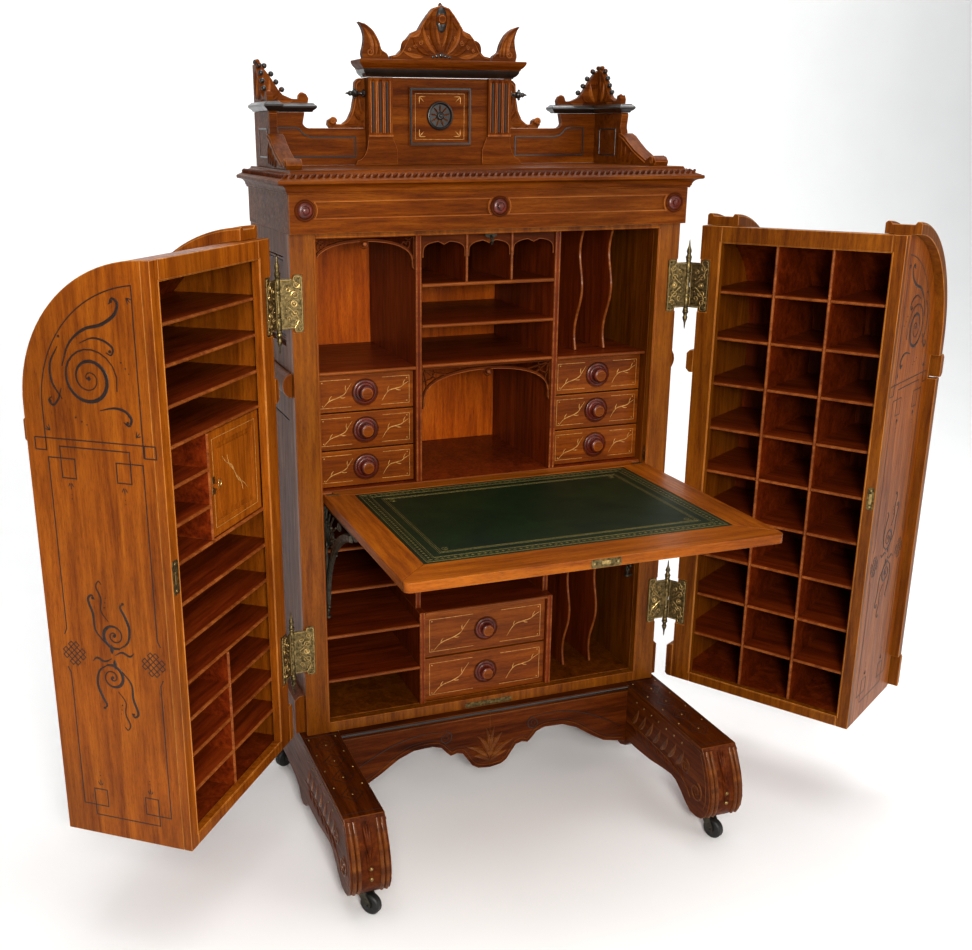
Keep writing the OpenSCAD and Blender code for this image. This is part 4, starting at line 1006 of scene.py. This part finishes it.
for off, w in ((7, 1.6), (10.5, 0.7), (25, 0.7), (28.5, 1.4), (46, 0.8), (50, 1.6), (54, 0.8)):
    lt.add(ribbon(lz, [(-hx + off, cy - hy + off), (hx - off, cy - hy + off), (hx - off, cy + hy - off),
                       (-hx + off, cy + hy - off)], w, 0.22, closed=True), 1)
off, pitch = 17.8, 12.4
runs = []
nx, ny = int((hx - off) * 2 / pitch), int((hy - off) * 2 / pitch)
for i in range(nx + 1):
    for s in (-1, 1):
        runs.append((-hx + off + (hx - off) * 2 * i / nx, cy + s * (hy - off), 0))
for i in range(1, ny):
    for s in (-1, 1):
        runs.append((s * (hx - off), cy - hy + off + (hy - off) * 2 * i / ny, 1))
for x, y, up in runs:
    d = [(5, 0), (1.2, 1.2), (0, 3.6), (-1.2, 1.2), (-5, 0), (-1.2, -1.2), (0, -3.6), (1.2, -1.2)]
    lt.add(prism(lz, [(x + (b if up else a), y + (a if up else b)) for a, b in d], -0.2, 0.24), 1)
for sx in (-1, 1):
    for sy in (-1, 1):
        c = spiral(sx * (hx - 66), cy + sy * (hy - 66), 9, 1.5, 1.4, 45 * sx * sy, 24, sx * sy)
        lt.add(ribbon(lz, c, 1.1, 0.22), 1)
lt.make(replaces=("writing_leather",))
bl = Part("board_lock_plate", "writing_leaf", ("brass", "bright"))
bp = facing(BY0)
bl.add(prism(bp, [(-32, 818), (-29, 816.5), (29, 816.5), (32, 818), (32, 832), (29, 833.5), (-29, 833.5),
                  (-32, 832)], -0.8, 0.5), 0)
bl.add(box((-9, BY0 - 0.8, 822.5), (9, BY0 + 0.5, 829.5)), 1)
for x in (-25, 25):
    bl.add(lathe(bp, x, 825, [(0, 0), (2.4, 0), (2, 1), (0, 1.2)], 12), 1)
for s in (-1, 1):
    bl.add(prism(level(DECK_Z), [(s * 366, -4), (s * 394, -4), (s * 396, 4), (s * 366, 4)], -0.4, 0.7), 0)
bl.make(replaces=("board_lock",))

# catches and strikes on the case
cbs = Part("case_catches", "cabinet", ("brass", "bright", "iron"))
cbs.add(prism(facing(0), [(-62, 252.5), (-58, 250.5), (58, 250.5), (62, 252.5), (62, 262), (58, 264),
                          (-58, 264), (-62, 262)], -0.2, 0.8), 0)
cbs.add(prism(facing(30), [(-14, 1390), (14, 1390), (14, 1384), (6, 1380), (-6, 1380), (-14, 1384)],
              -2, 2), 2)
cbs.add(tube([(0, 30, 1384), (0, 22, 1380), (0, 18, 1372), (0, 22, 1367), (0, 28, 1369)], 2.6, 8), 2)
for s in (-1, 1):
    cheek = flank(s * OPEN_HW, -s)
    cbs.add(prism(cheek, [(2, 838), (15, 838), (15, 872), (8.5, 878), (2, 872)], -1, 0.12), 0)
    cbs.add(lathe(cheek, 8.5, 864, [(0, -0.5), (2.4, -0.5), (2.4, 0.2), (0, 0.2)], 12), 1)
    cbs.add(tube([(s * OPEN_HW, 8, 819), (s * 384, 8, 819)], 2.5, 16), 0)
    for z in (528, 784.6):
        cbs.add(lathe(level(z), s * 392, 36, [(3.05, 0), (7, 0), (7, 5.4), (3.05, 5.4), (3.05, 0)], 20), 2)
        cbs.add(box((min(s * 398.5, s * 404), 31.5, z + 0.3), (max(s * 398.5, s * 404), 40.5, z + 5.2)), 2)
cbs.make(0.2, 1, 50, ("case_brass",))


# ------------------------------------------------------------------ iron stays
def stay(side):
    p = Part(side + "_stay_casting", side + "_stay", ("iron",), MIRROR if side == "left" else None)
    x, y, arm_z, arm_top = 392, 36, 804, 814.5
    pl = Plane((x, y, 0), (0, -1, 0), (0, 0, 1), (1, 0, 0))

    def wire(pts, r, n=8):
        p.add(tube([pl(a, b, 0) for a, b in pts], r, n))
    post = [(0, 526), (3, 526), (3, 538), (5.4, 541), (6.2, 546), (4.8, 551), (4.8, 566), (6.2, 570),
            (4.8, 574), (4.8, 740), (6, 746), (4.8, 752), (4.8, 778), (5.4, 783), (3, 783.4), (3, 790.6),
            (5.4, 791), (5.4, 801), (4, 804), (0, 804)]
    p.add(lathe(level(0), x, y, post, 20))
    p.add(prism(pl, [(-4, arm_z), (258, arm_z), (258, arm_top), (-4, arm_top)], -4, 4))
    p.add(prism(pl, [(244, arm_z - 5), (258, arm_z - 5), (258, arm_z), (240, arm_z)], -4, 4))
    outer = [(256 - 250 * cosd(t), 556 + 238 * sind(t)) for t in range(0, 81, 5)]
    wid = [15 + 8 * sind(t * 2) for t in range(0, 81, 5)]
    p.add(ribbon(pl, outer, wid, 3.6, sink=3.6))
    p.add(ribbon(pl, [(a + 2, b - 1) for a, b in outer[1:-1]], 4, 5.2, sink=5.2))
    hub = (10, 712)
    p.add(lathe(Plane(pl(*hub, 0), (0, -1, 0), (0, 0, 1), (1, 0, 0)), 0, 0,
                [(0, -4), (9, -4), (10, 0), (9, 4), (5, 5), (0, 6)], 20))
    for t in (86, 68, 52, 38, 25, 12, 0):
        a = math.radians(t)
        r1 = 88 if t > 60 else 104 if t > 30 else 84
        c, s = math.cos(a), math.sin(a)
        halfway = (hub[0] + r1 * 0.55 * c - 5 * s, hub[1] + r1 * 0.55 * s + 5 * c)
        tip = (hub[0] + r1 * c, min(803, hub[1] + r1 * s))
        wire(smooth([(hub[0] + 8 * c, hub[1] + 8 * s), halfway, tip], 5), 2.2)
        p.add(ball(pl(hub[0] + r1 * 0.62 * c, min(800, hub[1] + r1 * 0.62 * s), 0), 4.4, 10))
    fan = [(hub[0] + 62 * cosd(t), hub[1] + 62 * sind(t))
           for t in range(0, 88, 6)]
    wire(fan, 2.4)
    for a, b in ((10, 600), (8, 574), (13, 560), (5, 548)):
        p.add(ball(pl(a, b, 0), 4.6, 10))
    wire(spiral(26, 646, 13, 3, 1.4, 120, 26, 1), 2.2)
    wire(spiral(60, 742, 15, 3, 1.4, 200, 26, -1), 2.2)
    wire(spiral(122, 786, 13, 3, 1.3, 220, 26, -1), 2.0)
    p.make(replaces=(side + "_bracket",))


stay("left")
stay("right")

# ------------------------------------------------------------------ gallery
GAL_Y, PANEL_Y, CAP_TOP = 374, 355.8, 1665    # faces of the walls and the middle panel, top of the caps
gal = Part("gallery_inlay", "cabinet", ("black", "line", "gilt"))
wall, panel = facing(GAL_Y), facing(PANEL_Y)
wing = [(205, 1546), (391, 1546), (391, 1611), (347, 1611), (340, 1608), (334, 1600), (326, 1594),
        (314, 1591), (205, 1591)]
for s in (-1, 1):
    gal.add(ribbon(wall, [(s * a, b) for a, b in wing], 3.6, 1.0, closed=True), 0)
    gal.add(ribbon(wall, [(s * (a + (5 if a < 300 else -5)), b + (5 if b < 1570 else -5)) for a, b in wing
                          if a in (205, 391) or b in (1611, 1591)], 1, 0.4, closed=True), 1)
    # the same panel on the inner and outer faces of the returns
    for x, n in ((422, -1), (440, 1)):
        gal.add(ribbon(flank(s * x, s * n), [(262, 1548), (344, 1548), (344, 1608), (262, 1608)], 3.6, 1.0,
                       closed=True), 0)
for y, a, w, h, mat in ((350, 74.5, 5.4, 1.6, 0), (PANEL_Y, 62, 1.2, 0.4, 2)):
    b = a * 0.83
    gal.add(ribbon(facing(y), [(-a, 1636 - b), (a, 1636 - b), (a, 1636 + b), (-a, 1636 + b)], w, h,
                   closed=True), mat)
for sx in (-1, 1):
    for sy in (-1, 1):
        for t in (0, 45, 90):
            gal.add(leaf(panel, (sx * 52, 1636 + sy * 45),
                         (sx * (52 - 17 * cosd(t)), 1636 + sy * (45 - 17 * sind(t))), 3, 1), 2)
gal.make(angle=50)

cap = Part("gallery_cornices", "cabinet", ("black", "case_x", "rub_x"))
cap.add(moulding([(0, 1722.3), (2, 1722.3), (3, 1725), (8, 1728), (12, 1733), (14, 1739.6), (0, 1739.6)],
                 181, 345, 396), 0)
cap.add(moulding([(0, 1740), (15, 1740), (16, 1743), (20, 1746), (24, 1751), (26, 1755), (26, 1758.6),
                  (24, 1760), (0, 1760)], 181, 345, 396), 1)
for s in (-1, 1):
    prof = [(0, 1645.4), (4, 1645.4), (6, 1649), (10, 1651.5), (13, 1655), (13, 1659), (9, 1662),
            (6, CAP_TOP), (0, CAP_TOP)]
    x0, x1, y0, y1, xi, yi = 312, 439, 375, 389, 423, 235
    path = [((x0, y1), (-1, 1)), ((x0, y0), (-1, -1)), ((xi, y0), (-1, -1)), ((xi, yi), (-1, -1)),
            ((x1, yi), (1, -1)), ((x1, y1), (1, 1))]
    cap.add(loft([[(s * (x + ox * o), y + oy * o, z) for o, z in prof] for (x, y), (ox, oy) in path],
                 closed=True), 0)
    cap.add(prism(level(0), [(s * x, y) for (x, y), _ in path], 1645.4, CAP_TOP - 0.2), 0)
cap.make(0.5, 2, 30, ("gallery_caps",))

rd = Part("roundel_turning", "cabinet", ("black", "case_x", "gilt", "line"))
rd.add(prism(facing(356), [(-70.5, 1578.5), (70.5, 1578.5), (70.5, 1693.5), (-70.5, 1693.5)], -2, 0.2), 1)
for z0, z1, x0, x1 in ((1570, 1579, -79, 79), (1693, 1702, -79, 79), (1579, 1693, -79, -70),
                       (1579, 1693, 70, 79)):
    rd.add(box((x0, 350, z0), (x1, 356, z1)), 1)
rd.add(lathe(panel, 0, 1638, [(0, -0.5), (33, -0.5), (33, 3), (31.5, 5.4), (29, 6), (27, 4), (26, 1.4),
                              (0, 1)], 48), 0)
for k in range(9):
    c, s = cosd(40 * k + 10), sind(40 * k + 10)
    pk = Plane((0, PANEL_Y, 1638), (c, 0, s), (-s, 0, c), (0, -1, 0))
    rd.add(leaf(pk, (7, 0), (27, 0), 4.4, 5.5), 1)
rd.add(lathe(panel, 0, 1638, [(0, 0.5), (9, 0.5), (9.4, 4), (7, 6.4), (4, 6), (2.5, 8), (0, 8.6)], 28), 0)
rd.make(0, replaces=("roundel",))

# carving on the crest: ribs from a husk, leaves down each slope, beads and an egg-shaped finial
cr = Part("crest_carving", "cabinet", ("case_x", "rub_x", "black"))
c346 = facing(346)
egg = [(0, -8), (7, -7.5), (13, -5), (15.5, 0), (13, 5), (7, 7.5), (0, 8)]
v, f = lathe(Plane((0, 350, 1849), (1, 0, 0), (0, 0, 1), (0, -1, 0)), 0, 0, egg, 30)
cr.add(([(p[0], p[1], 1849 + (p[2] - 1849) * 2.1) for p in v], f), 2)
for s in (-1, 1):
    for i, (p0, p1, w, h, bd) in enumerate((
            ((6, 1776), (22, 1868), 13, 6, 9), ((14, 1774), (46, 1836), 14, 6, 8),
            ((26, 1771), (72, 1812), 14, 5, 8), ((44, 1768), (98, 1782), 12, 4, 6),
            ((24, 1850), (40, 1826), 12, 5, -4), ((50, 1828), (80, 1810), 12, 5, 5),
            ((80, 1806), (100, 1778), 11, 4, -4), ((2, 1790), (12, 1838), 8, 4, 3))):
        cr.add(leaf(c346, (s * p0[0], p0[1]), (s * p1[0], p1[1]), w, h, -s * bd), i % 2)
    for a, b, r in ((52, 1798, 6), (66, 1790, 5), (80, 1783, 4), (36, 1808, 6)):
        cr.add(tube([c346(*q, 1.5) for q in spiral(s * a, b, r, 1, 1.3, 90, 18, s)], 1.6, 6), 1)
    edge = smooth([(s * a, b) for a, b in ((4, 1879), (20, 1873), (34, 1857), (46, 1841), (56, 1825),
                                           (72, 1819), (84, 1805), (96, 1783), (108, 1772),
                                           (122, 1768.5))], 4)
    cr.add(ribbon(c346, [(a * 0.985, b - 2.4) for a, b in edge], 3, 1.6), 1)
for a, b, r in ((0, 1772, 6), (-11, 1770, 4.6), (11, 1770, 4.6), (-21, 1768, 3.6), (21, 1768, 3.6)):
    cr.add(lathe(c346, a, b, [(0, -1), (r, -1), (r * 0.8, r * 0.6), (0, r * 0.9)], 16), 2)
cr.make(angle=45)

# horns beside the crest, each with a carved side and a curl at its foot; turned buds on the block's ends
ho = Part("horns_and_buds", "cabinet", ("case_x", "rub_x", "black"))
for s in (-1, 1):
    lower = smooth([(128, 1760.5), (133, 1773), (146, 1782), (152, 1800), (165, 1821), (182, 1834),
                    (200, 1840)], 5)
    upper = smooth([(200, 1840), (192, 1828), (187, 1810), (189, 1790), (193, 1774), (190, 1760.5)], 5)
    ho.add(prism(facing(357), [(s * a, b) for a, b in lower + upper[1:]], -9, 9), 0)
    h348 = facing(348)
    ho.add(ribbon(h348, [(s * (a + 3), b + 0.5) for a, b in lower[4:-4]], 2.4, 1.8), 1)
    for p0, p1, w, bd in (((168, 1772), (190, 1830), 12, 7), ((160, 1770), (168, 1812), 9, 5),
                          ((150, 1768), (154, 1792), 7, 3)):
        ho.add(leaf(h348, (s * p0[0], p0[1]), (s * p1[0], p1[1]), w, 4.5, s * bd), 1)
    ho.add(tube([h348(*q, 1) for q in spiral(s * 174, 1776, 9, 1.5, 1.5, 90, 24, s)], 2.2, 6), 1)
    bud = [(0, 0), (9, 0), (9, 3), (5, 5.5), (3.4, 9), (3.4, 14), (6.5, 16.5), (8.6, 20), (9, 24), (7, 28),
           (4.4, 30.5), (6, 33), (5.4, 36), (2.6, 39), (1.8, 43), (0, 46.2)]
    end = Plane((s * 184.6, 366, 1687), (0, 1, 0), (0, 0, 1), (s, 0, 0))
    ho.add(lathe(end, 0, 0, bud, 20), 2)
    for t in (0, 90, 180, 270):
        ho.add(ball(end(9.5 * cosd(t), 9.5 * sind(t), 24), 3.4, 10), 2)
ho.make(0.5, 2, 50, ("acroteria",))

# beads and leaves on the corner crests
cc = Part("corner_crest_carving", "cabinet", ("case_x", "rub_x", "black"))
BEADS = [(6, 86), (25, 79), (40, 62), (51, 45), (64, 29)]
for s in (-1, 1):
    returns = (flank(s * 426, -s), flank(s * 440, s))
    for a, b in BEADS:
        for p in ((s * (440 - a), 381, CAP_TOP + b), (s * 433, GAL_Y - a, CAP_TOP + b)):
            cc.add(ball(p, 6.2, 12), 2)
    for i, (a0, b0, a1, b1, w) in enumerate(((10, 6, 12, 70, 13), (20, 6, 34, 52, 12), (32, 6, 56, 26, 11),
                                             (50, 5, 88, 6, 9))):
        z0, z1 = CAP_TOP + b0, CAP_TOP + b1
        cc.add(leaf(wall, (s * (440 - a0), z0), (s * (440 - a1), z1), w, 4, s * 5), i % 2)
        for pl in returns:
            cc.add(leaf(pl, (GAL_Y - a0, z0), (GAL_Y - a1, z1), w, 4, 5), i % 2)
    curl = spiral(111, 13, 9, 2, 1.4, 200, 22, -1)
    cc.add(tube([wall(s * (440 - x), CAP_TOP + z, -7) for x, z in curl], 3.2, 8), 1)
    cc.add(tube([(s * 433, GAL_Y - x, CAP_TOP + z) for x, z in curl], 3.2, 8), 1)
cc.make(angle=45)

# volutes of the forward scrolls and of the brackets beside the block
vo = Part("volute_carving", "cabinet", ("rub_x", "case_x", "black"))
for s in (-1, 1):
    for x, n in ((448, 1), (414, -1)):
        outer_face = flank(s * x, s * n)
        back = smooth([(228, 1592), (206, 1584), (180, 1570), (150, 1554), (120, 1542), (98, 1533)], 4)
        vo.add(ribbon(outer_face, back, 3, 1.6), 0)
        vo.add(tube([outer_face(*q, 0.6) for q in spiral(68, 1538, 8.5, 1.5, 1.6, 20, 24, 1)], 2, 6), 0)
        for a0, b0, a1, b1, w in ((222, 1534, 214, 1580, 13), (204, 1532, 192, 1570, 12),
                                  (186, 1531, 168, 1556, 11), (164, 1530, 144, 1545, 9)):
            vo.add(leaf(outer_face, (a0, b0), (a1, b1), w, 3.5, 3), 1)
    curl = spiral(s * 261, 1626, 7.5, 1.5, 1.5, 200 if s > 0 else -20, 24, -s)
    vo.add(tube([facing(366)(*q, 0) for q in curl], 3.2, 8), 0)
    vo.add(ribbon(facing(375), smooth([(s * 190, 1716), (s * 200, 1706), (s * 202, 1680), (s * 208, 1650),
                                       (s * 220, 1627), (s * 240, 1616)], 4), 3, 1.6), 0)
    for a0, b0, a1, b1 in ((188, 1640, 196, 1700), (190, 1626, 206, 1652), (196, 1618, 228, 1620)):
        vo.add(leaf(facing(375), (s * a0, b0), (s * a1, b1), 9, 3.5, -s * 3), 1)
vo.make(angle=45)

# fluted pilasters: dark strips painted as the shade in the flutes' hollows, with pale fillets
fl = Part("pilaster_flutes", "cabinet", ("line", "rub_z"))
for s in (-1, 1):
    for k in (-1, 0, 1):
        x = s * 150.5 + 17 * k
        # the dark strip is painted shade, standing where the flute's hollow would lie in shade
        fl.add(ribbon(facing(348.4), [(x, 1601), (x, 1711)], 5.2, 0.3, sink=0.6), 0)
        for d in (-6.4, 6.4):
            fl.add(tube([(x + d, 346.2, 1599), (x + d, 346.2, 1713)], 1.3, 8), 1)
    fl.add(box((min(s * 120, s * 181), 344.8, 1590.5), (max(s * 120, s * 181), 346.2, 1595)), 1)
fl.make(angle=45)

# ------------------------------------------------------------------ feet and apron
LEG_X0, LEG_X1, LEG_TOP = 384, 474, 246
legs = Part("leg_carving", "cabinet", ("line", "stud", "carved", "deep_y"))
foot_top = level(LEG_TOP)
for s in (-1, 1):
    xm = s * (LEG_X0 + LEG_X1) / 2
    for y in (-52, -126, -200, -274):
        for hx, hy, w in ((25, 30, 1.8), (12, 15, 1.3)):
            legs.add(ribbon(foot_top, [(xm, y - hy), (xm + hx, y), (xm, y + hy), (xm - hx, y)], w, 0.45,
                            closed=True), 0)
        for dx, dy in ((0, 0), (32, 36), (-32, 36)):
            legs.add(lathe(foot_top, xm + dx, y + dy, [(0, -0.5), (2.8, -0.5), (2.6, 0.8), (1.6, 1.7),
                                                       (0, 2)], 14), 1)
    legs.add(ribbon(foot_top, [(xm - 39, -346), (xm + 39, -346), (xm + 39, -6), (xm - 39, -6)], 1.5, 0.4,
                    closed=True), 0)
    # reeds and a carved leaf on the nose, following its curve
    nose = smooth([(-366, 238), (-380, 214.5), (-394.4, 186), (-403.4, 158), (-407.4, 130), (-404.4, 104),
                   (-394.4, 84.5)], 4)
    for k in (-36, -25, 25, 36):
        legs.add(tube([(xm + k, y, z) for y, z in nose], 4.4, 8), 2)
    for y0, z0, y1, z1, w in ((-368, 236, -402, 166, 26), (-396, 184, -406, 112, 22)):
        for a in (-7, 0, 7):
            stem = [(xm + a * (1 - t / 8), y0 + (y1 - y0) * t / 8 - 2.5 * math.sin(math.pi * t / 8) - 0.4,
                     z0 + (z1 - z0) * t / 8) for t in range(9)]
            legs.add(tube(stem, [0.6 + (w / 6) * math.sin(math.pi * (t + 0.3) / 8.6) for t in range(9)], 8), 3)
    for z, y in ((146, -405.4), (122, -406.6)):
        legs.add(ball((xm, y - 1.5, z), 5, 12), 1)
    # leaves and scrolls cut on both sides of each foot
    for x, n in ((LEG_X0, -1), (LEG_X1, 1)):
        foot_side = flank(s * x, s * n)
        rim = smooth([(-20, 236), (-340, 236), (-358, 228), (-376, 198), (-388, 160), (-392, 124),
                      (-386, 100)], 4)
        legs.add(ribbon(foot_side, rim, 2.2, 0.8), 2)
        for a, b, r in ((-352, 128, 26), (-300, 168, 20)):
            c = spiral(a, b, r, 2.5, 1.8, 100, 36, 1)
            legs.add(ribbon(foot_side, c, [4.6 - 3 * i / 36 for i in range(37)], 1.8), 2)
        for i in range(7):
            y = -40 - 36 * i
            legs.add(leaf(foot_side, (y, 150), (y - 34, 204), 15, 3.4, 6), 2)
            legs.add(leaf(foot_side, (y - 6, 148), (y - 38, 122), 13, 3, -5), 3)
            legs.add(lathe(foot_side, y - 22, 218, [(0, -0.4), (3, -0.4), (2.4, 1.2), (0, 1.8)], 10), 1)
        lower = smooth([(-20, 146), (-120, 150), (-240, 142), (-300, 126), (-330, 100)], 5)
        legs.add(ribbon(foot_side, lower, 3, 1.6), 2)
legs.make(angle=45)

ap = Part("apron_carving", "cabinet", ("line", "carved", "black"))
ap_pl = facing(-14)
low = [(0, 86), (28, 90), (43, 100), (55, 118), (69, 138), (88, 142), (101, 138), (113, 150), (127, 164),
       (150, 172), (200, 170), (241, 154), (282, 126), (322, 102), (376, 90)]
full = smooth([(-a, b) for a, b in low[::-1]] + low[1:], 4)
ap.add(ribbon(ap_pl, [(a, b + 6) for a, b in full], 2.2, 1.4), 1)
ap.add(ribbon(ap_pl, [(a, b + 13) for a, b in full], 1.2, 0.4), 0)
ap.add(tube([(-383, -15.5, 240.5), (383, -15.5, 240.5)], 4.6, 10), 2)
ap.add(tube([(-383, -17.5, 230.5), (383, -17.5, 230.5)], 1.8, 8), 1)
for s in (-1, 1):
    for p0, p1, w, bd in (((0, 112), (s * 34, 176), 17, s * 7), ((s * 4, 108), (s * 64, 152), 15, s * 7),
                          ((s * 2, 102), (s * 44, 122), 12, s * 4), ((s * 2, 128), (s * 12, 196), 13, s * 4)):
        ap.add(leaf(ap_pl, p0, p1, w, 5, bd), 1)
    c = spiral(s * 118, 186, 18, 2, 1.7, 90, 34, s)
    ap.add(ribbon(ap_pl, c, [3.6 - 2 * i / 34 for i in range(35)], 1.2), 0)
    c = smooth([(s * 118, 204), (s * 180, 206), (s * 250, 192), (s * 320, 160), (s * 366, 132)], 6)
    ap.add(ribbon(ap_pl, c, swell(len(c), 3, 0.3), 1.0), 0)
ap.make(angle=45)

for k in ("fl", "fr", "rl", "rr"):
    soften("caster_" + k, ("iron",), 0.6)
    soften("wheel_" + k, ("wheel",), 0.8)

# ------------------------------------------------------------------ floor, light and camera
floor = bpy.data.meshes.new("floor")
pts, n = [], 24
for i in range(n + 1):
    t = i / n
    if t < 0.5:
        y, z = -6 + t * 2 * 8.2, 0.0
    else:
        a = math.pi / 2 * (t - 0.5) * 2
        y, z = 2.2 + 2.2 * math.sin(a), 2.2 - 2.2 * math.cos(a)
    pts.append((y, z))
pts.append((4.4, 7.0))
verts = [(x, y, z) for y, z in pts for x in (-9, 9)]
floor.from_pydata(verts, [], [(2 * i, 2 * i + 1, 2 * i + 3, 2 * i + 2) for i in range(len(pts) - 1)])
for p in floor.polygons:
    p.use_smooth = True
fm, fnt, fb = new_mat("studio_floor")
fsrc = fnt.nodes.new("ShaderNodeTexCoord").outputs["Object"]
fnt.links.new(ramp(fnt, noise(fnt, fsrc, 3, 3), [(0.3, grey(0.93)), (0.7, grey(0.95))]),
              fb.inputs["Base Color"])
fb.inputs["Roughness"].default_value = 0.9
floor.materials.append(fm)
floor_ob = bpy.data.objects.new("studio_floor", floor)
scene_objects.link(floor_ob)

scene = bpy.context.scene
world = bpy.data.worlds.new("studio")
world.use_nodes = True
bg = world.node_tree.nodes["Background"]
bg.inputs[0].default_value = (0.94, 0.97, 1.0, 1)
bg.inputs[1].default_value = 0.34
scene.world = world


def area(name, loc, target, size, power, color=(1, 1, 1)):
    li = bpy.data.lights.new(name, "AREA")
    li.shape = "RECTANGLE"
    li.size, li.size_y = size
    li.energy = power
    li.color = color
    ob = bpy.data.objects.new(name, li)
    ob.location = loc
    ob.rotation_euler = (Vector(target) - Vector(loc)).to_track_quat("-Z", "Y").to_euler()
    scene_objects.link(ob)


area("key", (-1.3, -3.6, 2.6), (0, 0, 0.9), (1.1, 1.1), 72, (1, 0.97, 0.92))
area("front", (-0.85, -2.8, 1.7), (0, 0, 1.0), (0.4, 0.3), 52, (1, 0.97, 0.93))
area("fill", (2.4, -3.2, 2.0), (0.3, 0, 0.8), (2.2, 2.2), 40, (1, 0.98, 0.95))
area("top", (0, -0.6, 4.2), (0, 0, 1), (3.5, 3.0), 70)
area("backdrop", (1.5, 1.6, 4.6), (1.8, 3.6, 1.2), (3.0, 1.5), 120)

cam_data = bpy.data.cameras.new("camera")
cam_data.lens = 42.89
cam_data.sensor_width = 36
cam_data.shift_x = 0.0589
cam_data.shift_y = 0.0362
cam = bpy.data.objects.new("camera", cam_data)
cam.location = (-1.0236, -2.3038, 1.597)
cam.rotation_euler = (math.radians(72.0), math.radians(0.06), math.radians(-19.66))
scene_objects.link(cam)
scene.camera = cam
scene.view_settings.view_transform = "Standard"
scene.view_settings.gamma = 0.88
